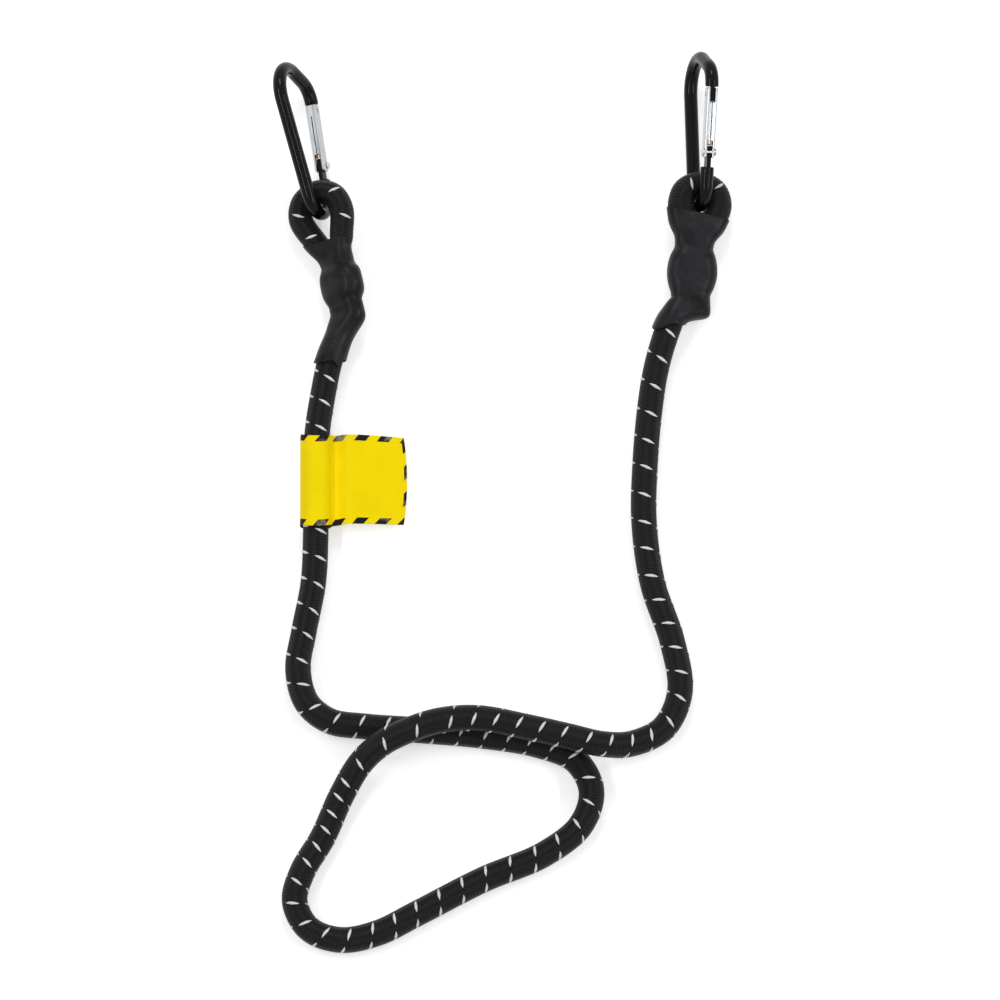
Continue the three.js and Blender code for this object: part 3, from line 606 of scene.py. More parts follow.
class BUNGEE_OT_cord(bpy.types.Operator):
    """Makes the braided sheath along the whole route, its tracer flecks and its rubber core."""

    bl_idname = "bungee.cord"
    bl_label = "Cord"

    def execute(self, context):
        settings = context.scene.bungee_cord
        line = even_line(settings.rib_pitch / MM / 2)
        rings = bunched_to_fill_shade(sheath_rings(line, settings), line, context.scene.bungee_hook.bar_thickness / MM)
        sheath = add_piece("braided_cord", *capped_tube(rings), braid_material(settings))
        sides = rings.shape[1]
        walls = ring_map(np.linspace(0, line["length"] / 10, len(rings)), sides)
        caps = np.zeros((6 * sides, 2))
        set_map(sheath, "cord_map", np.vstack([walls, caps]))

        core_line = even_line(CORE_STEP)
        radius = (CORD_RADIUS * core_line["squeeze"] - CORE_INSET)[:, None]
        core_rings = rings_round(core_line, radius, 2 * math.pi * np.arange(CORE_SIDES) / CORE_SIDES)
        core = add_piece("rubber_strands", *capped_tube(core_rings), rubber_material(settings))

        seats = tracer_seats(line)
        flecks = add_piece("tracer_flecks", [middle for middle, *_ in seats], [], tracer_material(settings))
        for column, (name, kind, field) in enumerate(SEAT_VALUES, 1):
            attribute = flecks.data.attributes.new(name, kind, "POINT")
            attribute.data.foreach_set(field, np.array([seat[column] for seat in seats], float).ravel())
        sizes = {
            "Length": settings.fleck_length,
            "Width": settings.fleck_width,
            "Height": FLECK_HEIGHT * MM,
            "Cord radius": settings.thickness / 2 - FLECK_SINK * MM,
            "Slant": -math.tan(settings.fleck_slant),
            "Material": flecks.data.materials[0],
        }
        set_tree(flecks, fleck_tree(), sizes)
        plain_mesh(flecks)

        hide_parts("braided_sheath")
        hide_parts("rubber_core")
        for piece in (sheath, core, flecks):
            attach(piece, "cord")
        return {"FINISHED"}


# The shrunk sleeves over the doubled ends, and the crimps inside them

SLEEVE_RINGS = 170
SLEEVE_SIDES = 72
SLEEVE_SLACK = 0.3
SLEEVE_EASE = 5  # rings over which a sleeve is evened out along its length
SLEEVE_WAIST = 6.7  # half the width inside a sleeve at a crimp
SLEEVE_FULL = 2.1  # by which a sleeve swells between its crimps
SLEEVE_SQUARE = 3.0  # how sharply a sleeve turns from one leg to the other
SLEEVE_DIP = 0.09  # share by which a sleeve sinks between the legs
TAIL_STATION = APEX - TAIL_TRIM  # where the cut tail ends, in stations from the top of the eye
CRIMP_STATIONS = ((4, 5), (7, 8))
CRIMP_EASE = 0.4  # stations over which a sleeve rises to a crimp
SLEEVE_TOP_RADIUS = 4.8  # inside radius over each leg at the upper edge, for a cord that isn't squeezed
SLEEVE_TOP_EASE = 0.12  # share of a sleeve's length over which it widens from that edge
SLEEVE_GAP = 0.1  # least room to a crimp, and to the table
RIM_ROUND = 0.2
FLAP_REACH = 0.22  # stations by which the flap hangs out of the mouth
FLAP_WIDTH = 0.3  # radians
TAIL_BUMP = 1.9  # by which the cut tail pushes a sleeve out
TAIL_BUMP_BEFORE = 0.1  # stations from its top to the tail's end
TAIL_BUMP_REACH = 0.3  # stations
WAY_STEP = 0.1  # stations to either side between which a leg's way is taken
TAIL_LEAVE = (0.9, 0.8)  # stations before the tail's end where its way stops counting, and over how many
TAIL_CLOSE = (0.05, 0.6)  # the same for where a sleeve closes in on the one leg that goes on
CREASE_REACH = 0.3  # stations
CREASE_LEAST = 0.7  # share of a crease's depth that is there all round
DIP_WIDTH = 0.4  # of the hollow between the legs, as the cosine of a turn
DENT = 0.035
DENTS = ((3, 1.7), (5, -2.9), (2, 4.3))  # waves round a sleeve, and radians in each station
TOPS = {
    # station of each upper edge, and by how much it lies higher on the tail's side
    "left": (3.08, -0.22),
    "right": (ENDS["right"]["sleeve_top"], ENDS["right"]["sleeve_slant"]),
}
MOUTHS = {
    # station of each mouth, how much earlier it comes on the tail's side and later on top, flap's angle
    "left": (9.97, 0.13, 0.15, 0.5),
    "right": (9.83, 0.4, 0.22, 0.8),
}


def dress(node, material):
    """A material of this script on a node of the solid model, whose mesh stays as it is."""
    for place in node.material_slots:
        place.link = "OBJECT"
        place.material = material


def leg_places(side, stations):
    """Middles and squeezes of the standing leg and the tail leg, at stations from the top of the eye."""
    flat = stations.ravel()
    places = [APEX + flat, APEX - np.minimum(flat, TAIL_STATION)]
    if side == "right":
        places = [LAST_STOP - place for place in places]
    middles = [cord_middle(place).reshape(*stations.shape, 3) for place in places]
    squeezes = [squeeze_at(place).reshape(stations.shape) for place in places]
    return middles, squeezes


def evened(wall, rings):
    """A wall with its bends evened out along it, and its ends left in place."""
    reach = 3 * rings
    weights = np.exp(-0.5 * (np.arange(-reach, reach + 1) / rings) ** 2)
    longer = np.pad(wall, ((reach, reach), (0, 0), (0, 0)), mode="reflect", reflect_type="odd")
    spread = sum(weight * longer[step : step + len(wall)] for step, weight in enumerate(weights))
    return spread / weights.sum()


def sleeve_wall(side, allowance, settings):
    """One wall of a sleeve, as rings from the eye to the mouth, with its creases, dents and flap."""
    turn = 2 * math.pi * np.arange(SLEEVE_SIDES) / SLEEVE_SIDES
    mouth, mouth_slant, mouth_low, flap_turn = MOUTHS[side]
    edge, edge_slant = TOPS[side]
    top = edge - edge_slant * np.cos(turn)
    flap = np.exp(-(((turn - flap_turn + math.pi) % (2 * math.pi) - math.pi) / FLAP_WIDTH) ** 2)
    foot = mouth - mouth_slant * np.cos(turn) + mouth_low * np.sin(turn) + FLAP_REACH * flap
    share = np.linspace(0, 1, SLEEVE_RINGS)[:, None]
    station = top * (1 - share) + foot * share

    (own, tail), (own_squeeze, tail_squeeze) = leg_places(side, station)
    (own_up, tail_up), _ = leg_places(side, station - WAY_STEP)
    (own_down, tail_down), _ = leg_places(side, station + WAY_STEP)
    before, ease = TAIL_LEAVE
    both = 1 - blend_step((station - TAIL_STATION + before) / ease)
    along = unit(unit(own_up - own_down) + both[..., None] * unit(tail_up - tail_down + TINY))
    across = tail - own
    across = unit(across - along * (across * along).sum(-1, keepdims=True))
    over = np.cross(across, along)

    before, ease = TAIL_CLOSE
    closing = blend_step((station - TAIL_STATION + before) / ease)[..., None]
    tail = tail * (1 - closing) + own * closing
    half = ((tail - own) * across).sum(-1) / 2
    crimped = sum(
        blend_step((station - first + CRIMP_EASE) / CRIMP_EASE)
        * (1 - blend_step((station - last) / CRIMP_EASE))
        for first, last in CRIMP_STATIONS
    )

    def inside(squeeze):
        below = blend_step(share / SLEEVE_TOP_EASE)
        round_cord = SLEEVE_TOP_RADIUS + (CORD_CORNER - SLEEVE_TOP_RADIUS) * below
        loose = round_cord * squeeze + SLEEVE_SLACK * below
        return loose + (np.maximum(loose, CRIMP_OUTSIDE + SLEEVE_GAP) - loose) * crimped

    own_radius = inside(own_squeeze)
    tail_radius = inside(tail_squeeze) * (1 - closing[..., 0]) + own_radius * closing[..., 0]
    toward = np.tanh(SLEEVE_SQUARE * np.cos(turn)) / math.tanh(SLEEVE_SQUARE)
    radius = own_radius * (1 - toward) / 2 + tail_radius * (1 + toward) / 2 + allowance

    crease = sum(
        np.exp(-(((station - sum(pair) / 2) / CREASE_REACH) ** 2))
        * (CREASE_LEAST + (1 - CREASE_LEAST) * np.sin(2 * turn + 5 * pair[0]))
        for pair in CRIMP_STATIONS
    )
    upper_crimp, lower_crimp = (sum(pair) / 2 for pair in CRIMP_STATIONS)
    between = np.sin(math.pi * np.clip((station - upper_crimp) / (lower_crimp - upper_crimp), 0, 1))
    swollen = SLEEVE_WAIST + SLEEVE_FULL * between + allowance
    full = np.maximum(swollen - half - radius, 0) * (between > 0.01)
    dents = sum(np.sin(round_it * turn + in_station * station) for round_it, in_station in DENTS)
    from_bump = (station - TAIL_STATION + TAIL_BUMP_BEFORE) / TAIL_BUMP_REACH
    bump = TAIL_BUMP * np.exp(-(from_bump**2)) * np.maximum(np.cos(turn), 0)
    radius = radius + full + bump - crease * settings.crease_depth / MM + dents * DENT

    dip = 1 - SLEEVE_DIP * np.exp(-((np.cos(turn) / DIP_WIDTH) ** 2)) * np.clip(half / radius, 0, 1)
    wide = half * toward + radius * np.cos(turn)
    high = radius * dip * np.sin(turn)
    middle = (own + tail) / 2
    wall = middle + wide[..., None] * across + high[..., None] * over
    wall[..., 2] = np.maximum(wall[..., 2], settings.wall / MM - allowance + SLEEVE_GAP)
    return evened(wall, SLEEVE_EASE), along


class BUNGEE_OT_sleeves(bpy.types.Operator):
    """Makes both shrunk sleeves and finishes the crimps under them."""

    bl_idname = "bungee.sleeves"
    bl_label = "Sleeves"

    def execute(self, context):
        settings = context.scene.bungee_sleeve
        skin = sleeve_material(settings)
        steel = crimp_material(settings)
        for side in SIDES:
            outside, along = sleeve_wall(side, settings.wall / MM, settings)
            inside, _ = sleeve_wall(side, 0, settings)
            mouth_rim = (outside[-1] + inside[-1]) / 2 - along[-1] * RIM_ROUND
            top_rim = (outside[0] + inside[0]) / 2 + along[0] * RIM_ROUND
            rings = np.concatenate([outside, mouth_rim[None], inside[::-1], top_rim[None], outside[:1]])
            count = len(rings) - 1
            faces = grid_faces(count + 1, SLEEVE_SIDES) % (count * SLEEVE_SIDES)
            sleeve = add_piece(f"{side}_shrunk_sleeve", rings[:-1].reshape(-1, 3), faces, skin)
            spacing = np.linalg.norm(np.diff(outside.mean(1), axis=0), axis=1).mean()
            set_map(sleeve, "sleeve_map", ring_map(np.arange(count + 1) * spacing / 10, SLEEVE_SIDES))
            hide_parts(f"{side}_sleeve")
            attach(sleeve, "cord")
            for crimp in (f"{side}_eye_crimp", f"{side}_tail_crimp"):
                dress(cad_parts[crimp], steel)
        return {"FINISHED"}


# The snap hooks. Each is drawn in its own plane: x from spine to gate, y along the spine, the cord at 0, 0.
# Gate pieces are drawn along the gate line: x outward, y up the gate, from the end of the lower bend.

HOOK_LENGTH = 60
BAR_SIDES = 36
RIM = 0.35  # by which the bar's ends are turned in
BEND_STEPS = 30
ROD_SIDES = 24
CROWN_RADIUS = 11
CROWN_TURN = math.radians(125)
NOSE_RADIUS = 8
GATE_TILT = math.radians(18)
EYE_SLACK = 0.2
GATE_WIDTH = 4.2
GATE_DEPTH = 4.2
GATE_CORNER = 1.0
GATE_CORNER_STEPS = 8
GATE_RIM = 0.3
GATE_BACK = 0.32  # wall left behind the upper slot
GATE_FOOT = 9.9
SHOULDER = GATE_FOOT - 3.4
SLOT_WIDTH = 2.2
SLOT_ROOF = GATE_FOOT + 6.3
UPPER_SLOT = 5.6
BORE_RADIUS = 1.2
BORE_ROOF = 1.2
SEAM_DEPTH = 1.1  # as deep as the bore
FAR = 10  # past every face of a gate, for what is cut away
OVERLAP = 1.0  # by which the bore and the seams run into the slots
RIVET_OFFSET = 1.05
RIVET_HEIGHT = GATE_FOOT + 2.1
RIVET_RADIUS = 0.8
RIVET_HEAD = (1.3, 0.7)  # radius and height
RIVET_EDGE = 0.15  # share of the head's height below its dome
RIVET_DIMPLE = (0.16, 0.9, 0.86)  # radius, rim and bottom, as shares of the head
PIN_GAP = 0.15
TONGUE = (-1.8, 1.9, RIVET_HEIGHT + 2.2, 1.3)  # inner side, outer side, top and rounding
ROOT = 3.0  # depth of a plate inside the bar
LATCH_RADIUS = 0.6
LATCH_BELOW_TOP = 2.5
LATCH_OFFSET = -0.45
BARB = (-1.7, 1.8, 1.3)  # inner side, outer side and height
BARB_GAP = 0.5
BARB_LEAN = 0.15
BARB_ROUND = 0.8
BLADE = SLOT_WIDTH - 2 * GAP
PLUNGER_FOOT = RIVET_HEIGHT + 2.2 + GAP / 2
PLUNGER = (0.95, 4.0, 0.7, 0.4, 3.0)  # radius, head, rounding of the tip, stem's radius and length
PLUNGER_EDGE = 0.15
SPRING_RADIUS = 0.75
SPRING_WIRE = 0.32
SPRING_PITCH = 1.25
SPRING_STEPS = 20  # in one turn
SPRING_SIDES = 8
SPRING_ROOM = 0.8
BEVEL = 0.12


def turned(angle):
    return np.array([math.cos(angle), math.sin(angle)])


def hook_plan(bar):
    """Lines and heights of a hook, worked out from its sizes as in the solid model."""
    bend = CORD_CORNER + GAP + EYE_SLACK + bar / 2
    outward, gate_way = turned(-GATE_TILT), turned(math.pi / 2 - GATE_TILT)
    slope_turn = math.pi - CROWN_TURN
    slope_out, slope_way = turned(slope_turn), turned(slope_turn - math.pi / 2)
    crown = np.array([CROWN_RADIUS - bend, HOOK_LENGTH - bend - bar - CROWN_RADIUS])
    crown_end = crown + slope_out * CROWN_RADIUS
    nose_turn = (outward - slope_out) * NOSE_RADIUS
    slope = (bend - (crown_end + nose_turn).dot(outward)) / slope_way.dot(outward)
    nose = crown_end + slope_way * slope - slope_out * NOSE_RADIUS
    start = outward * bend
    nose_foot = (nose + outward * NOSE_RADIUS - start).dot(gate_way)

    line = [start + gate_way * SHOULDER * share for share in np.linspace(1, 0, 6, endpoint=False)]
    for middle, radius, first, last in (
        (np.zeros(2), bend, -GATE_TILT, -math.pi),
        (crown, CROWN_RADIUS, math.pi, slope_turn),
        (nose, NOSE_RADIUS, slope_turn, -GATE_TILT),
    ):
        line += [middle + radius * turned(t) for t in np.linspace(first, last, BEND_STEPS + 1)]
    return dict(
        line=np.array(line),
        start=start,
        outward=outward,
        gate_way=gate_way,
        nose_foot=nose_foot,
        top=nose_foot - GAP,
    )


def hook_place(end, plan):
    """Matrices in millimetres that put hook pieces and gate pieces of one end in their places."""
    turn = math.radians(end["hook_heading"])
    level = np.array([math.cos(turn), math.sin(turn), 0])
    normal = across_of(end["hook_heading"], end["eye_roll"]) * (1 if end["gate_down"] else -1)
    across = np.cross(level, normal)
    rise = math.radians(end["hook_rise"])
    way = level * math.cos(rise) - across * math.sin(rise)
    side = across * math.cos(rise) + level * math.sin(rise)
    hook = np.eye(4)
    hook[:3] = np.column_stack([side, way, normal, end["pivot"]])
    gate = np.eye(4)
    gate[:2, 0], gate[:2, 1], gate[:2, 3] = plan["outward"], plan["gate_way"], plan["start"]
    return hook, hook @ gate


def moved(vertices, matrix):
    vertices = np.asarray(vertices, float)
    return vertices @ matrix[:3, :3].T + matrix[:3, 3]


def slab(outline, thickness, chamfer):
    """A plate in the plane of the hook from an outline that turns to the left, with chamfered rims."""
    outline = np.asarray(outline, float)
    ahead = unit(np.roll(outline, -1, axis=0) - outline)
    behind = np.roll(ahead, 1, axis=0)
    inward = np.stack([-(ahead + behind)[:, 1], (ahead + behind)[:, 0]], axis=1)
    inward = inward / (1 + (ahead * behind).sum(1, keepdims=True))
    small = outline + inward * chamfer
    half = thickness / 2
    layers = [(small, -half), (outline, chamfer - half), (outline, half - chamfer), (small, half)]
    rings = np.array([np.column_stack([ring, np.full(len(ring), z)]) for ring, z in layers])
    count = len(outline)
    faces = grid_faces(4, count).tolist()
    faces += [list(range(count))[::-1], list(range(3 * count, 4 * count))]
    return rings.reshape(-1, 3), faces


def lathe(profile, sides):
    """A turned piece round y, from a profile of radius and height that starts and ends on the axis."""
    turn = 2 * math.pi * np.arange(sides)[::-1] / sides
    inner = [spot for spot in profile if spot[0] > 1e-6]
    rings = np.array([[(r * math.cos(t), h, r * math.sin(t)) for t in turn] for r, h in inner])
    vertices = np.vstack([rings.reshape(-1, 3), [(0, profile[0][1], 0)], [(0, profile[-1][1], 0)]])
    faces = grid_faces(len(inner), sides)[:, ::-1].tolist()
    first, last, end = len(vertices) - 2, len(vertices) - 1, (len(inner) - 1) * sides
    for side in range(sides):
        following = (side + 1) % sides
        faces.append([first, side, following])
        faces.append([last, end + following, end + side])
    return vertices, [face[::-1] for face in faces]


def cut(piece, cutters, operation):
    """Joins other closed meshes to a piece, or cuts them out of it."""
    for vertices, faces in cutters:
        cutter = add_piece("cutter", vertices, faces, piece.data.materials[0])
        modifier = piece.modifiers.new("cut", "BOOLEAN")
        modifier.operation = operation
        modifier.solver = "EXACT"
        modifier.object = cutter
        plain_mesh(piece)
        bpy.data.objects.remove(cutter)
    return piece


def crisp(piece, degrees=32, bevel=0.0):
    """Smooth shading with sharp edges kept, after an optional bevel in millimetres."""
    if bevel:
        modifier = piece.modifiers.new("bevel", "BEVEL")
        modifier.width = bevel * MM
        modifier.segments = 2
        modifier.limit_method = "ANGLE"
        modifier.angle_limit = math.radians(degrees)
        plain_mesh(piece)
    piece.data.polygons.foreach_set("use_smooth", [True] * len(piece.data.polygons))
    piece.data.set_sharp_from_angle(angle=math.radians(degrees))
    return piece


def box(low, high):
    corners = [(x, y, z) for x in (low[0], high[0]) for y in (low[1], high[1]) for z in (low[2], high[2])]
    return corners, [(0, 1, 3, 2), (4, 6, 7, 5), (0, 4, 5, 1), (2, 3, 7, 6), (0, 2, 6, 4), (1, 5, 7, 3)]


def turned_across(profile, sides, x, y):
    """A turned piece along the rivet's direction, at a place in the plane of the hook."""
    vertices, faces = lathe(profile, sides)
    return np.column_stack([vertices[:, 0] + x, y - vertices[:, 2], vertices[:, 1]]), faces


def cross_rod(radius, length, x, y, chamfer=0.0):
    """A round rod along the rivet's direction, with chamfered ends."""
    half = length / 2
    profile = [(0, -half), (radius - chamfer, -half), (radius, chamfer - half)]
    profile += [(radius, half - chamfer), (radius - chamfer, half), (0, half)]
    return turned_across(profile, ROD_SIDES, x, y)


def bar_mesh(plan, bar):
    """The hook's round bar, with a turned-in rim at each end."""
    line = plan["line"]
    forward = unit(np.gradient(line, axis=0))
    middles = np.vstack([line[:1], line, line[-1:]])
    forward = np.vstack([forward[:1], forward, forward[-1:]])
    middles[1] += forward[1] * RIM
    middles[-2] -= forward[-2] * RIM
    radius = np.full(len(middles), bar / 2)
    radius[0] = radius[-1] = bar / 2 - RIM
    turn = 2 * math.pi * np.arange(BAR_SIDES) / BAR_SIDES
    left = np.column_stack([-forward[:, 1], forward[:, 0]])
    rings = np.zeros((len(middles), BAR_SIDES, 3))
    rings[..., :2] = middles[:, None] + (radius[:, None] * np.cos(turn))[..., None] * left[:, None]
    rings[..., 2] = radius[:, None] * np.sin(turn)
    return capped_tube(rings)


def curve_corner(corner, first, last, steps=5):
    """Points of a rounded corner between two ends."""
    share = np.linspace(0, 1, steps + 1)[:, None]
    corner, first, last = (np.array(spot, float) for spot in (corner, first, last))
    return ((1 - share) ** 2 * first + 2 * share * (1 - share) * corner + share**2 * last).tolist()


def tongue_outline():
    inner, outer, top, rounding = TONGUE
    foot = SHOULDER - ROOT
    outline = [(inner, foot), (outer, foot)]
    outline += curve_corner((outer, top), (outer, top - rounding), (outer - rounding, top))
    return outline + [(inner, top)]


def nose_outline(plan):
    inner, outer, height = BARB
    neck = LATCH_OFFSET + LATCH_RADIUS + GAP
    root = plan["nose_foot"] + ROOT
    top = plan["top"] - LATCH_BELOW_TOP - LATCH_RADIUS - BARB_GAP
    foot = top - height
    outline = [(neck, root), (neck, top), (inner, top + BARB_LEAN), (inner + BARB_LEAN, foot)]
    outline += curve_corner((outer, foot), (outer - BARB_ROUND, foot), (outer, foot + BARB_ROUND))
    return outline + [(outer, root)]


def gate_outline():
    """Rounded section of the gate: outward, and along the rivet."""
    x, y, r = GATE_DEPTH / 2 - GATE_CORNER, GATE_WIDTH / 2 - GATE_CORNER, GATE_CORNER
    corners = ((x, y, 0), (-x, y, 90), (-x, -y, 180), (x, -y, 270))
    places = []
    for middle_x, middle_y, start in corners:
        for step in range(GATE_CORNER_STEPS + 1):
            turn = math.radians(start + 90 * step / GATE_CORNER_STEPS)
            places.append((middle_x + r * math.cos(turn), middle_y + r * math.sin(turn)))
    return places


def gate_mesh(plan):
    outline = np.array(gate_outline())
    foot, top = GATE_FOOT, plan["top"]
    rings = []
    for height, inset in ((foot, GATE_RIM), (foot + GATE_RIM, 0), (top - GATE_RIM, 0), (top, GATE_RIM)):
        small = outline * (1 - 2 * inset / np.array([GATE_DEPTH, GATE_WIDTH]))
        rings.append(np.column_stack([small[:, 0], np.full(len(small), height), small[:, 1]]))
    vertices, faces = capped_tube(np.array(rings))
    return vertices, [face[::-1] for face in faces]


def gate_cutters(plan, seam):
    """Slots, bore, pin holes and the seams down the gate's inner and outer faces."""
    top, slot = plan["top"], SLOT_WIDTH / 2
    slot_floor = top - UPPER_SLOT
    bore_top = slot_floor - BORE_ROOF
    bore_foot = SLOT_ROOF - OVERLAP
    cutters = [
        box((-FAR, GATE_FOOT - FAR, -slot), (FAR, SLOT_ROOF, slot)),
        box((GATE_BACK - GATE_DEPTH / 2, slot_floor, -slot), (FAR, top + FAR, slot)),
        lathe([(0, bore_foot), (BORE_RADIUS, bore_foot), (BORE_RADIUS, bore_top), (0, bore_top)], ROD_SIDES),
        cross_rod(RIVET_RADIUS + PIN_GAP, FAR, RIVET_OFFSET, RIVET_HEIGHT),
        cross_rod(LATCH_RADIUS + PIN_GAP, FAR, LATCH_OFFSET, top - LATCH_BELOW_TOP),
    ]
    for face in (-1, 1):
        low, high = sorted((face * (GATE_DEPTH / 2 - SEAM_DEPTH), face * FAR))
        cutters.append(box((low, bore_foot, -seam / 2), (high, slot_floor + OVERLAP, seam / 2)))
    return cutters


def rivet_mesh():
    """A rivet with a domed, dimpled head outside each cheek of the gate."""
    radius, height = RIVET_HEAD
    head = GATE_WIDTH / 2 + GAP / 2
    half = [(RIVET_RADIUS, head), (radius, head), (radius, head + RIVET_EDGE * height)]
    for turn in np.linspace(0.3, 1.25, 6):
        dome = RIVET_EDGE + (1 - RIVET_EDGE) * math.sin(turn)
        half.append((radius * math.cos(turn), head + height * dome))
    dimple, dimple_rim, dimple_foot = RIVET_DIMPLE
    half += [(radius * dimple, head + height * dimple_rim), (0, head + height * dimple_foot)]
    profile = [(r, -h) for r, h in reversed(half)] + half
    return turned_across(profile, 32, RIVET_OFFSET, RIVET_HEIGHT)


def plunger_mesh():
    radius, head, tip, stem, stem_length = PLUNGER
    profile = [(0, 0)]
    for turn in np.linspace(0.2, math.pi / 2, 7):
        profile.append((radius - tip + tip * math.sin(turn), tip * (1 - math.cos(turn))))
    profile += [(radius, head - PLUNGER_EDGE), (radius - PLUNGER_EDGE, head), (stem, head)]
    profile += [(stem, head + stem_length), (0, head + stem_length)]
    return lathe([(r, PLUNGER_FOOT + h) for r, h in profile], 28)


def spring_top(plan):
    return plan["top"] - UPPER_SLOT - BORE_ROOF - SPRING_ROOM


def spring_mesh(plan):
    """One unbroken wire, coiled in the bore."""
    foot = PLUNGER_FOOT + PLUNGER[1] + GAP / 2 + SPRING_WIRE / 2
    length = spring_top(plan) - SPRING_WIRE / 2 - foot
    steps = int(length / SPRING_PITCH * SPRING_STEPS)
    round_wire = 2 * math.pi * np.arange(SPRING_SIDES) / SPRING_SIDES
    up = np.array([0, 1.0, 0])
    rings = []
    for step in range(steps + 1):
        turn = 2 * math.pi * step / SPRING_STEPS
        out = np.array([math.cos(turn), 0, math.sin(turn)])
        middle = out * SPRING_RADIUS + up * (foot + length * step / steps)
        rings.append([middle + (out * math.cos(t) + up * math.sin(t)) * SPRING_WIRE / 2 for t in round_wire])
    return capped_tube(np.array(rings))


def put(piece, place):
    """Moves a piece that was made in the plane of a hook to its place, given in millimetres."""
    matrix = Matrix(place.tolist())
    matrix.translation *= MM
    piece.data.transform(matrix)


def hook_piece(name, mesh, matrix, material, body, node):
    """A finished piece of a hook, put in its place and tied to the solid model."""
    vertices, faces = mesh
    piece = add_piece(name, moved(vertices, matrix), faces, material)
    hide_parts(node)
    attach(piece, body)
    return piece


class BUNGEE_OT_hooks(bpy.types.Operator):
    """Makes the bent bar of each hook, with its tongue, nose and hinge rivet."""

    bl_idname = "bungee.hooks"
    bl_label = "Hooks"

    def execute(self, context):
        settings = context.scene.bungee_hook
        bar = settings.bar_thickness / MM
        plan = hook_plan(bar)
        black, steel = bar_material(settings), steel_material(settings)
        for side in SIDES:
            hook, gate = hook_place(ENDS[side], plan)
            body = add_piece(f"{side}_snap_hook", *bar_mesh(plan, bar), black)
            in_plane = np.linalg.inv(hook) @ gate
            plates = [slab(tongue_outline(), BLADE, BEVEL), slab(nose_outline(plan), BLADE, BEVEL)]
            cut(body, [(moved(v, in_plane), f) for v, f in plates], "UNION")
            vertices, faces = cross_rod(RIVET_RADIUS + PIN_GAP, FAR, RIVET_OFFSET, RIVET_HEIGHT)
            cut(body, [(moved(vertices, in_plane), faces)], "DIFFERENCE")
            put(body, hook)
            crisp(body)
            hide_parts(f"{side}_hook_body")
            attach(body, f"{side}_hook")
            rivet = hook_piece(
                f"{side}_rivet", rivet_mesh(), gate, steel, f"{side}_hook", f"{side}_hinge_rivet"
            )
            crisp(rivet)
        return {"FINISHED"}


class BUNGEE_OT_gates(bpy.types.Operator):
    """Makes each gate with its latch pin, spring and plunger."""

    bl_idname = "bungee.gates"
    bl_label = "Gates"

    def execute(self, context):
        settings = context.scene.bungee_hook
        plan = hook_plan(settings.bar_thickness / MM)
        bright, steel = gate_material(settings), steel_material(settings)
        brass, wire = brass_material(settings), wire_material(settings)
        for side in SIDES:
            _, place = hook_place(ENDS[side], plan)
            gate = add_piece(f"{side}_snap_gate", *gate_mesh(plan), bright)
            cut(gate, gate_cutters(plan, settings.seam / MM), "DIFFERENCE")
            put(gate, place)
            crisp(gate)
            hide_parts(f"{side}_gate")
            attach(gate, f"{side}_gate")
            latch_height = plan["top"] - LATCH_BELOW_TOP
            latch = cross_rod(LATCH_RADIUS, GATE_WIDTH - GAP, LATCH_OFFSET, latch_height, BEVEL)
            pieces = [
                ("pin", latch, steel, "gate", "steel", "latch_pin"),
                ("coil_spring", spring_mesh(plan), wire, "gate", "spring", "gate_spring"),
                ("plunger", plunger_mesh(), brass, "plunger", "plunger", "spring_plunger"),
            ]
            for name, mesh, material, body, slot, node in pieces:
                piece = hook_piece(
                    f"{side}_{name}", mesh, place, material, f"{side}_{body}", f"{side}_{node}"
                )
                crisp(piece, 40)
                if name == "coil_spring":
                    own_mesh(piece)
        return {"FINISHED"}


# The flag tag: one strip of vinyl laid round the left strand and stuck to itself

TAG_STRAND = -68.7  # x of the strand inside it
TAG_MIDDLE = 7.9  # y of its middle
TAG_INSIDE = CORD_CORNER + GAP + 0.3
TAG_LIFT = TAG_INSIDE + 0.55  # height of the strand's middle inside the tag
TAG_RISE = 3.4  # of the flag beside the cord
TAG_RISE_SHARE = 0.25  # share of the flag over which it rises
TAG_DROOP = 2.5  # of the free edge
TAG_DROOP_POWER = 1.6
TAG_ROWS = 70
TAG_PINCH = math.radians(14)  # where the strip leaves the cord
STRIP = 0.28  # thickness of the strip
STRIP_AIR = 0.08  # between the strip and the room for the cord
STRIP_APART = 0.56  # from the flag's middle to the middle of each layer, in thicknesses
FOLD_RUN = 1.2  # from where the strip leaves the cord to where its layers meet
FOLD_CORNER = (0.12, 0.3)  # place of the fold's corner, from where the strip leaves the cord
FLAG_STEPS = 60
FOLD_STEPS = 10
WRAP_STEPS = 60
FLAG_START = 6.0  # from the strand's middle to where the flag begins to wave
FLAG_TRIM = 1.25  # by which the waving stretch is shorter than the flag
WAVE = 0.3
WAVE_TURNS = (5.2, 4.5)  # radians of the wave up the flag and along it
CURL = 0.5  # of the free edge's corners
EDGE_SKEW_TOP = 0.2  # by which the flag's upper corner hangs
EDGE_SKEW_FOOT = 1.1  # by which its lower corner is raised
EDGE_BOW = 1.2  # of the free edge
WRAP_SKEW = 0.4  # slant of the strip over the cord
WRAP_LEVEL = 2.2  # height above the strand's middle from which it slants


def flag_shape(share):
    """Fall of the flag along it, from the cord to the free edge: a quick rise, then a droop."""
    rise = TAG_RISE * blend_step(share / TAG_RISE_SHARE) * (1 - share)
    return rise - TAG_DROOP * share**TAG_DROOP_POWER


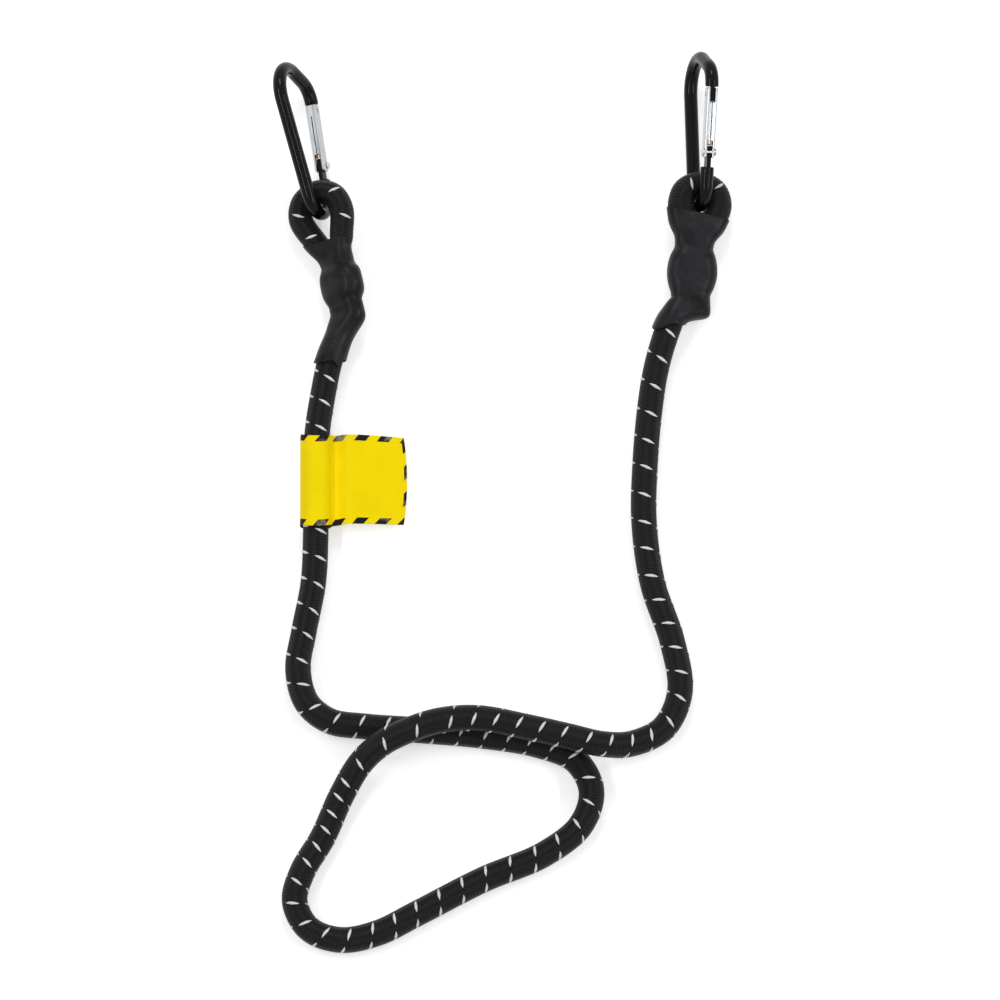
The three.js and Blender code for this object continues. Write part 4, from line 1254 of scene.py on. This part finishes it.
def tag_strip(settings):
    """The strip's middle line: in along the upper layer, round the cord, and out along the lower one."""
    tip = CORD_RADIUS + settings.flag / MM
    radius = TAG_INSIDE + STRIP / 2 + STRIP_AIR
    leave = radius * turned(TAG_PINCH)
    root = leave[0] + FOLD_RUN
    share = np.linspace(1, 0, FLAG_STEPS)
    upper = np.column_stack([root + (tip - root) * share, flag_shape(share) + STRIP * STRIP_APART])
    corner = (leave[0] + FOLD_CORNER[0], FOLD_CORNER[1])
    fold = curve_corner(corner, upper[-1], leave, FOLD_STEPS)[1:-1]
    turn = np.linspace(TAG_PINCH, math.pi, WRAP_STEPS)
    over = radius * np.column_stack([np.cos(turn), np.sin(turn)])
    half = np.vstack([upper, fold, over])
    lower = half[:-1][::-1] * (1, -1)
    shape = np.interp(lower[:, 0], upper[::-1, 0], flag_shape(share[::-1]))
    lower[:, 1] += 2 * shape * (lower[:, 0] >= root)
    return np.vstack([half, lower]), len(half) - 1


class BUNGEE_OT_tag(bpy.types.Operator):
    """Makes the flag tag with its fold, its droop and its striped border."""

    bl_idname = "bungee.tag"
    bl_label = "Tag"

    def execute(self, context):
        settings = context.scene.bungee_tag
        strip, back = tag_strip(settings)
        ahead = unit(np.gradient(strip, axis=0))
        outward = np.column_stack([ahead[:, 1], -ahead[:, 0]])
        loop = np.vstack([strip + outward * STRIP / 2, (strip - outward * STRIP / 2)[::-1]])
        length = np.concatenate([[0], np.cumsum(np.linalg.norm(np.diff(strip, axis=0), axis=1))])
        along = np.abs(length - length[back])
        along = np.concatenate([along, along[::-1]])

        height = settings.height / MM
        share = np.linspace(1, 0, TAG_ROWS)[:, None]
        flag = np.clip((loop[:, 0] - FLAG_START) / (settings.flag / MM - FLAG_TRIM), 0, 1)
        to_rim = (2 * share - 1) ** 2
        wave = WAVE * np.sin(WAVE_TURNS[0] * share + WAVE_TURNS[1] * flag) * flag + CURL * to_rim * flag**2
        rows = np.zeros((TAG_ROWS, len(loop), 3))
        rows[..., 0] = TAG_STRAND + loop[:, 0] - EDGE_BOW * to_rim * flag
        skew = (EDGE_SKEW_TOP * share - EDGE_SKEW_FOOT * (1 - share)) * flag
        skew = skew + WRAP_SKEW * np.maximum(loop[:, 1] - WRAP_LEVEL, 0)
        rows[..., 1] = TAG_MIDDLE + height * (share - 0.5) - skew
        rows[..., 2] = TAG_LIFT + loop[:, 1] + wave

        sides = len(loop)
        points = len(strip)
        faces = grid_faces(TAG_ROWS, sides).tolist()
        top = (TAG_ROWS - 1) * sides
        for spot in range(points - 1):
            other = sides - 1 - spot
            rim = [spot, spot + 1, other - 1, other]
            faces.append(rim[::-1])
            faces.append([top + corner for corner in rim])
        tag = add_piece("flag_tag_vinyl", rows.reshape(-1, 3), faces, vinyl_material(settings, along.max()))
        places = np.zeros((TAG_ROWS, sides, 2))
        places[..., 0] = along / 10
        places[..., 1] = share * height / 10
        corners = np.concatenate([np.asarray(face) for face in faces])
        set_map(tag, "tag_map", places.reshape(-1, 2)[corners])
        crisp(tag, 50)
        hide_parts("flag_tag")
        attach(tag, "cord")
        return {"FINISHED"}


# Materials. A shader group gives a pattern, and each material mixes it with its own values.

ORIGIN = (0.0, 0.0, 0.0)  # a vector socket's value until a material gives it a place

def shader_group(name, inputs, outputs):
    """An empty shader group with named sockets, and a builder, its input sockets and its output sockets."""
    tree = bpy.data.node_groups.new(name, "ShaderNodeTree")
    for label, value in inputs.items():
        kind = "NodeSocketFloat" if isinstance(value, float) else "NodeSocketVector"
        socket = tree.interface.new_socket(label, in_out="INPUT", socket_type=kind)
        socket.default_value = value
    for label in outputs:
        tree.interface.new_socket(label, in_out="OUTPUT", socket_type="NodeSocketFloat")
    make = TreeBuilder(tree)
    given = make.add("NodeGroupInput").outputs
    result = make.add("NodeGroupOutput").inputs
    return tree, make, given, result


def noise_at(make, place, scale, detail):
    """Noise from 0 to 1 at a place."""
    inputs = {"Vector": place, "Scale": scale, "Detail": detail}
    return make.add("ShaderNodeTexNoise", inputs).outputs[0]


def group_once(name, build):
    """The named shader group, built the first time that a material asks for it."""
    return bpy.data.node_groups.get(name) or build(name)


def yarn_group(name):
    """Height of braided yarn, and a mask for painted sheen on its crowns and painted shade in its grooves:
    lanes round the cord, crossed by slanting filaments.
    """
    inputs = {"Map": ORIGIN, "Lanes": 10.0, "Ribs per cm": 9.1}
    tree, make, given, result = shader_group(name, inputs, ("Height", "Painted crown sheen", "Fuzz"))
    spot = make.add("ShaderNodeSeparateXYZ", [given["Map"]]).outputs
    round_place = make.times(spot["Y"], given["Lanes"])
    lane = make.math("FLOOR", round_place)
    across = make.math("SUBTRACT", make.math("FRACT", round_place), 0.5)
    lean = make.math("SUBTRACT", make.times(make.math("MODULO", lane, 2.0), 2.0), 1.0)
    rib_place = make.plus(make.times(spot["X"], given["Ribs per cm"]), make.times(across, lean, 0.9))
    rib = make.math("SINE", make.times(rib_place, 2 * math.pi))
    strand = make.math("SINE", make.times(make.plus(rib_place, make.times(across, 0.6)), 8 * math.pi))
    crown = make.math("COSINE", make.times(across, math.pi))
    drawn = [make.times(spot["X"], 30.0), make.times(spot["Y"], 60.0), lane]
    noise = noise_at(make, make.add("ShaderNodeCombineXYZ", drawn).outputs[0], 1.0, 3.0)
    weave = make.plus(make.times(rib, 0.5), make.times(strand, 0.18))
    make.put(result["Height"], make.plus(weave, make.times(crown, 0.5), make.times(noise, 0.5)))
    # Lighter on the lane crowns and rib tops and darker in the grooves between lanes: painted sheen and
    # painted shade, with noise for uneven tone.
    painted_sheen_mask = make.plus(make.times(rib, 0.28), make.times(crown, 0.55), make.times(noise, 0.5))
    make.put(result["Painted crown sheen"], make.math("SUBTRACT", painted_sheen_mask, 0.42, clamp=True))
    make.put(result["Fuzz"], noise)
    return tree


def grain_group(name):
    """Fine grain with broad uneven patches, on Object coordinates."""
    inputs = {"Place": ORIGIN, "Grain": 3000.0, "Patches": 120.0, "Stretch": (1.0, 1.0, 1.0)}
    tree, make, given, result = shader_group(name, inputs, ("Grain", "Patches", "Scratches"))
    drawn = make.add("ShaderNodeVectorMath", [given["Place"], given["Stretch"]], operation="MULTIPLY")
    make.put(result["Grain"], noise_at(make, given["Place"], given["Grain"], 4.0))
    make.put(result["Patches"], noise_at(make, given["Place"], given["Patches"], 3.0))
    make.put(result["Scratches"], noise_at(make, drawn.outputs[0], given["Grain"], 2.0))
    return tree


def new_material(name, **constants):
    """A material with a Principled shader, whose constants are set on the shader's own sockets."""
    material = bpy.data.materials.new(name)
    material.use_nodes = True
    material.node_tree.nodes.clear()
    make = TreeBuilder(material.node_tree)
    values = {key.replace("_", " "): value for key, value in constants.items()}
    shader = make.add("ShaderNodeBsdfPrincipled", values)
    make.add("ShaderNodeOutputMaterial", [shader.outputs[0]])
    return material, make, shader.inputs


def ramp(make, value, low, high):
    """A value stretched so that low gives 0 and high gives 1."""
    inputs = {"Value": value, "From Min": low, "From Max": high}
    return make.add("ShaderNodeMapRange", inputs, clamp=True).outputs[0]


def mixed(make, share, first, second):
    """A colour between two others."""
    node = make.add("ShaderNodeMix", data_type="RGBA")
    make.put(node.inputs["Factor"], share)
    for key, colour in (("A", first), ("B", second)):
        socket = next(s for s in node.inputs if s.name == key and s.type == "RGBA")
        make.put(socket, colour if isinstance(colour, bpy.types.NodeSocket) else (*colour, 1))
    return next(s for s in node.outputs if s.type == "RGBA")


def bump(make, height, strength, distance):
    inputs = {"Height": height, "Strength": strength, "Distance": distance}
    return make.add("ShaderNodeBump", inputs).outputs[0]


def placed(make, group, inputs):
    """A shader group in a material, with its inputs."""
    node = make.add("ShaderNodeGroup", node_tree=group)
    for key, value in inputs.items():
        make.put(node.inputs[key], value)
    return node.outputs


def surface_grain(make, **inputs):
    """Grain, patches and scratches on a piece, at the scales given."""
    inputs["Place"] = make.add("ShaderNodeTexCoord").outputs["Object"]
    return placed(make, group_once("surface_grain", grain_group), inputs)


def tinted(colour, share):
    """A colour made darker or lighter."""
    return tuple(min(1.0, share * value) for value in colour)


def braid_material(settings):
    material, make, shader = new_material(
        "black_braid", Sheen_Weight=0.03, Sheen_Roughness=0.5, Specular_IOR_Level=0.1
    )
    place = make.add("ShaderNodeUVMap", uv_map="cord_map").outputs[0]
    inputs = {"Map": place, "Lanes": float(settings.lanes), "Ribs per cm": 10 * MM / settings.rib_pitch}
    yarn = placed(make, group_once("braided_yarn", yarn_group), inputs)
    # The braid's colour turns lighter where the yarn stands up: a painted sheen.
    make.put(shader["Base Color"], mixed(make, yarn["Painted crown sheen"], settings.braid_colour, settings.sheen_colour))
    make.put(shader["Roughness"], make.math("SUBTRACT", 0.5, make.times(yarn["Fuzz"], 0.22)))
    make.put(shader["Normal"], bump(make, yarn["Height"], 0.8, 0.00018))
    return material


def tracer_material(settings):
    material, make, shader = new_material("reflective_yarn", Sheen_Weight=0.2, Specular_IOR_Level=0.5)
    grain = surface_grain(make, Grain=2600.0)
    shade = ramp(make, grain["Grain"], 0.35, 0.65)
    dull = tinted(settings.tracer_colour, 0.72)
    make.put(shader["Base Color"], mixed(make, shade, dull, settings.tracer_colour))
    make.put(shader["Roughness"], make.math("SUBTRACT", 0.55, make.times(shade, 0.2)))
    make.put(shader["Normal"], bump(make, grain["Grain"], 0.35, 0.0001))
    return material


def rubber_material(settings):
    material, make, shader = new_material("rubber_strands", Specular_IOR_Level=0.4)
    grain = surface_grain(make, Grain=1800.0)
    dusty = tinted(settings.rubber_colour, 1.35)
    make.put(shader["Base Color"], mixed(make, grain["Patches"], settings.rubber_colour, dusty))
    make.put(shader["Roughness"], make.plus(make.times(grain["Grain"], 0.2), 0.7))
    make.put(shader["Normal"], bump(make, grain["Grain"], 0.3, 0.0002))
    return material


def sleeve_material(settings):
    material, make, shader = new_material("shrunk_tube", Specular_IOR_Level=0.12)
    grain = surface_grain(make, Grain=2300.0, Patches=120.0)
    place = make.add("ShaderNodeUVMap", uv_map="sleeve_map").outputs[0]
    spot = make.add("ShaderNodeSeparateXYZ", [place]).outputs
    near_eye = ramp(make, spot["X"], 1.7, 0.5)
    slanted = make.plus(make.times(spot["X"], 10.0), make.times(spot["Y"], 14.0))
    wave = make.math("SINE", make.times(slanted, 2 * math.pi))
    ribs = make.times(wave, near_eye, ramp(make, grain["Patches"], 0.4, 0.62))
    mottled = ramp(make, grain["Patches"], 0.38, 0.62)
    shade = make.plus(make.times(mottled, 0.7), make.times(grain["Grain"], 0.3))
    dark, light = tinted(settings.colour, 0.1), tinted(settings.colour, 2.0)
    make.put(shader["Base Color"], mixed(make, shade, dark, light))
    make.put(shader["Roughness"], make.math("SUBTRACT", 0.5, make.times(grain["Patches"], 0.34)))
    height = make.plus(make.times(grain["Grain"], 0.8), make.times(ribs, 0.12))
    make.put(shader["Normal"], bump(make, height, 0.5, 0.00022))
    return material


def crimp_material(settings):
    material, make, shader = new_material("crimp_steel", Metallic=1.0)
    grain = surface_grain(make, Grain=1500.0, Stretch=(1.0, 0.1, 1.0))
    dull = tinted(settings.crimp_colour, 0.6)
    make.put(shader["Base Color"], mixed(make, grain["Patches"], dull, settings.crimp_colour))
    make.put(shader["Roughness"], make.plus(make.times(grain["Scratches"], 0.3), 0.25))
    make.put(shader["Normal"], bump(make, grain["Scratches"], 0.2, 0.0001))
    return material


def bar_material(settings):
    """Black anodised bar: glossy, with faint drawing lines along it and small worn spots."""
    material, make, shader = new_material("black_anodised", Specular_IOR_Level=0.1, Coat_Roughness=0.06)
    grain = surface_grain(make, Grain=900.0, Patches=260.0, Stretch=(1.0, 0.12, 1.0))
    # Random spots where the anodising is worn lighter and rougher: real wear.
    wear_and_glare = ramp(make, grain["Patches"], 0.62, 0.78)
    worn = tinted(settings.bar_colour, 3.2)
    make.put(shader["Base Color"], mixed(make, wear_and_glare, settings.bar_colour, worn))
    marks = make.plus(make.times(grain["Scratches"], 0.08), make.times(wear_and_glare, 0.12))
    make.put(shader["Roughness"], make.plus(marks, 0.06))
    make.put(shader["Coat Weight"], make.math("SUBTRACT", 0.06, make.times(wear_and_glare, 0.05)))
    make.put(shader["Normal"], bump(make, grain["Scratches"], 0.08, 0.00005))
    return material


def metal_material(name, colour, rough, shade, scratch):
    """Bare metal with drawing lines along y, uneven shade and a few dull patches."""
    material, make, shader = new_material(name, Metallic=1.0)
    grain = surface_grain(make, Grain=1600.0, Patches=300.0, Stretch=(1.0, 0.06, 1.0))
    dull = tinted(colour, shade)
    uneven = make.plus(make.times(grain["Patches"], 0.5), make.times(grain["Scratches"], 0.5))
    make.put(shader["Base Color"], mixed(make, ramp(make, uneven, 0.35, 0.65), dull, colour))
    make.put(shader["Roughness"], make.plus(make.times(grain["Scratches"], scratch), rough))
    make.put(shader["Normal"], bump(make, grain["Scratches"], 0.12, 0.00006))
    return material


def gate_material(settings):
    return metal_material("polished_gate", settings.gate_colour, 0.24, 0.82, 0.14)


def steel_material(settings):
    return metal_material("plated_steel", settings.steel_colour, 0.2, 0.75, 0.18)


def wire_material(settings):
    return metal_material("spring_wire", settings.steel_colour, 0.25, 0.6, 0.2)


def brass_material(settings):
    return metal_material("plunger_brass", settings.brass_colour, 0.22, 0.7, 0.2)


def stripe_group(name):
    """Slanted stripes along three edges of a tag, from its map in centimetres, and patches of painted glare
    on them.
    """
    inputs = {"Map": ORIGIN, "Height": 3.4, "Reach": 4.5, "Border": 0.24, "Pitch": 0.9}
    tree, make, given, result = shader_group(name, inputs, ("Stripes", "Painted glare"))
    spot = make.add("ShaderNodeSeparateXYZ", [given["Map"]]).outputs
    to_edge = make.math("MINIMUM", spot["Y"], make.math("SUBTRACT", given["Height"], spot["Y"]))
    to_end = make.times(make.math("SUBTRACT", given["Reach"], spot["X"]), 2.0)
    to_edge = make.math("MINIMUM", to_edge, to_end)
    slanted = make.math("SUBTRACT", spot["X"], make.times(spot["Y"], 0.85))
    place = make.math("FRACT", make.math("DIVIDE", make.plus(slanted, 9.0), given["Pitch"]))
    dark = make.math("LESS_THAN", place, 0.52)
    border = make.math("LESS_THAN", to_edge, given["Border"])
    make.put(result["Stripes"], make.times(dark, border))
    # Noise patches where the stripes are greyed: a painted glare.
    make.put(result["Painted glare"], ramp(make, noise_at(make, given["Map"], 1.4, 5.0), 0.52, 0.68))
    return tree


def vinyl_material(settings, reach):
    """Yellow vinyl: slightly glossy, faintly creased, its printed stripes turned grey in places by a painted
    glare.
    """
    material, make, shader = new_material("yellow_vinyl", Specular_IOR_Level=0.06)
    place = make.add("ShaderNodeUVMap", uv_map="tag_map").outputs[0]
    inputs = {"Map": place, "Height": settings.height / MM / 10, "Reach": reach / 10}
    inputs |= {"Border": settings.border / MM / 10, "Pitch": settings.stripe / MM / 10}
    stripes = placed(make, group_once("hazard_stripes", stripe_group), inputs)
    grain = surface_grain(make, Grain=1900.0, Patches=90.0)
    # The grey that the black stripes turn to in patches: a painted glare on the vinyl.
    wear_and_glare = tuple(0.3 + 0.2 * c for c in settings.yellow)
    ink = mixed(make, make.times(stripes["Painted glare"], 0.75), settings.black, wear_and_glare)
    shade = ramp(make, grain["Patches"], 0.35, 0.65)
    ground = mixed(make, shade, tinted(settings.yellow, 0.95), settings.yellow)
    make.put(shader["Base Color"], mixed(make, stripes["Stripes"], ground, ink))
    make.put(shader["Roughness"], make.plus(make.times(grain["Grain"], 0.15), make.times(shade, 0.08), 0.32))
    height = make.plus(make.times(grain["Grain"], 0.25), make.times(grain["Patches"], 2.0))
    make.put(shader["Normal"], bump(make, height, 0.18, 0.0003))
    return material


# Camera, floor and light

FLOOR_HALF = 4.0  # metres
FLOOR_SINK = 0.0002  # metres below the table height of the part
FLOOR_LIFT = 0.5  # light that the floor adds where it is seen
SENSOR = 36.0  # millimetres
MIDDLE_HEIGHT = 5 * MM  # height at which the frame's width is taken
CAMERA_TIP = math.radians(16)  # lean of the view from straight down
AIM = Vector((-1.4, 2.4, 0)) * MM  # place on the table at the picture's middle
SOFT_BOXES = [
    # place, width and length in metres: two strips beside the table and a square behind it
    ((-0.85, -0.1, 1.2), 0.045, 1.2),
    ((1.05, -0.1, 1.05), 0.045, 1.2),
    ((0.0, 1.3, 1.3), 0.5, 0.5),
]


def white_for_seen_rays(make):
    """1 for rays that show the background: from the camera, in a reflection or through glass."""
    rays = make.add("ShaderNodeLightPath").outputs
    seen = make.math("MAXIMUM", rays["Is Camera Ray"], rays["Is Glossy Ray"])
    return make.math("MAXIMUM", seen, rays["Is Transmission Ray"])


class BUNGEE_OT_camera(bpy.types.Operator):
    """Places the camera high above the table, a little towards the viewer, at the picture's framing."""

    bl_idname = "bungee.camera"
    bl_label = "Camera"

    def execute(self, context):
        settings = context.scene.bungee_stage
        data = bpy.data.cameras.new("camera")
        data.sensor_width = SENSOR
        data.lens = SENSOR * (settings.camera_height - MIDDLE_HEIGHT) / settings.frame_width
        data.clip_end = 4 * settings.camera_height
        camera = bpy.data.objects.new("camera", data)
        away = Vector((0, -math.sin(CAMERA_TIP), math.cos(CAMERA_TIP)))
        camera.location = AIM + away * settings.camera_height
        camera.rotation_euler = (CAMERA_TIP, 0, 0)
        context.scene.collection.objects.link(camera)
        context.scene.camera = camera
        return {"FINISHED"}


class BUNGEE_OT_stage(bpy.types.Operator):
    """Makes the pale floor, the white background and the soft light."""

    bl_idname = "bungee.stage"
    bl_label = "Stage"

    def execute(self, context):
        settings = context.scene.bungee_stage
        corners = [(-1, -1), (1, -1), (1, 1), (-1, 1)]
        half = FLOOR_HALF / MM
        places = [(x * half, y * half, -FLOOR_SINK / MM) for x, y in corners]
        floor = add_piece("floor", places, [(0, 1, 2, 3)], self.floor_material(settings), smooth=False)

        world = bpy.data.worlds.new("white_room")
        world.use_nodes = True
        world.node_tree.nodes.clear()
        make = TreeBuilder(world.node_tree)
        seen = white_for_seen_rays(make)
        strength = make.plus(make.times(seen, 1 - settings.sky_strength), settings.sky_strength)
        sky = make.add("ShaderNodeBackground", {"Color": (1, 1, 1, 1), "Strength": strength})
        make.add("ShaderNodeOutputWorld", [sky.outputs[0]])
        context.scene.world = world

        for number, (place, width, length) in enumerate(SOFT_BOXES):
            data = bpy.data.lights.new(f"soft_box_{number}", "AREA")
            data.shape = "RECTANGLE"
            data.size = width
            data.size_y = length
            data.energy = settings.key_power
            lamp = bpy.data.objects.new(data.name, data)
            lamp.location = place
            lamp.rotation_euler = (-math.atan2(place[1], place[2]), math.atan2(place[0], place[2]), 0)
            context.scene.collection.objects.link(lamp)

        view = context.scene.view_settings
        view.view_transform = "Standard"
        return {"FINISHED"}

    @staticmethod
    def floor_material(settings):
        material = bpy.data.materials.new("pale_floor")
        material.use_nodes = True
        material.node_tree.nodes.clear()
        make = TreeBuilder(material.node_tree)
        seen = white_for_seen_rays(make)
        matt = make.add("ShaderNodeBsdfDiffuse", {"Color": (*settings.floor_colour, 1)})
        lift = make.add("ShaderNodeEmission", {"Strength": make.times(seen, FLOOR_LIFT)})
        both = make.add("ShaderNodeAddShader", [matt.outputs[0], lift.outputs[0]])
        make.add("ShaderNodeOutputMaterial", [both.outputs[0]])
        return material


# Panel and registration

SETTINGS = {
    "bungee_cord": CordSettings,
    "bungee_sleeve": SleeveSettings,
    "bungee_hook": HookSettings,
    "bungee_tag": TagSettings,
    "bungee_stage": StageSettings,
}
STEPS = [
    BUNGEE_OT_camera,
    BUNGEE_OT_cord,
    BUNGEE_OT_sleeves,
    BUNGEE_OT_hooks,
    BUNGEE_OT_gates,
    BUNGEE_OT_tag,
    BUNGEE_OT_stage,
]


class BUNGEE_PT_panel(bpy.types.Panel):
    """Lists the steps that dress the bungee cord, and their settings."""

    bl_idname = "BUNGEE_PT_panel"
    bl_label = "Bungee cord"
    bl_space_type = "VIEW_3D"
    bl_region_type = "UI"
    bl_category = "Bungee"

    def draw(self, context):
        for step in STEPS:
            self.layout.operator(step.bl_idname)
        for key, group in SETTINGS.items():
            section = self.layout.box()
            settings = getattr(context.scene, key)
            for name in group.__annotations__:
                section.prop(settings, name)


def register():
    for group in (*SETTINGS.values(), *STEPS, BUNGEE_PT_panel):
        bpy.utils.register_class(group)
    for key, group in SETTINGS.items():
        setattr(bpy.types.Scene, key, PointerProperty(type=group))


def unregister():
    for key in SETTINGS:
        delattr(bpy.types.Scene, key)
    for group in reversed((*SETTINGS.values(), *STEPS, BUNGEE_PT_panel)):
        bpy.utils.unregister_class(group)


def main():
    register()
    for step in STEPS:
        area, name = step.bl_idname.split(".")
        getattr(getattr(bpy.ops, area), name)()


if __name__ == "__main__":
    main()
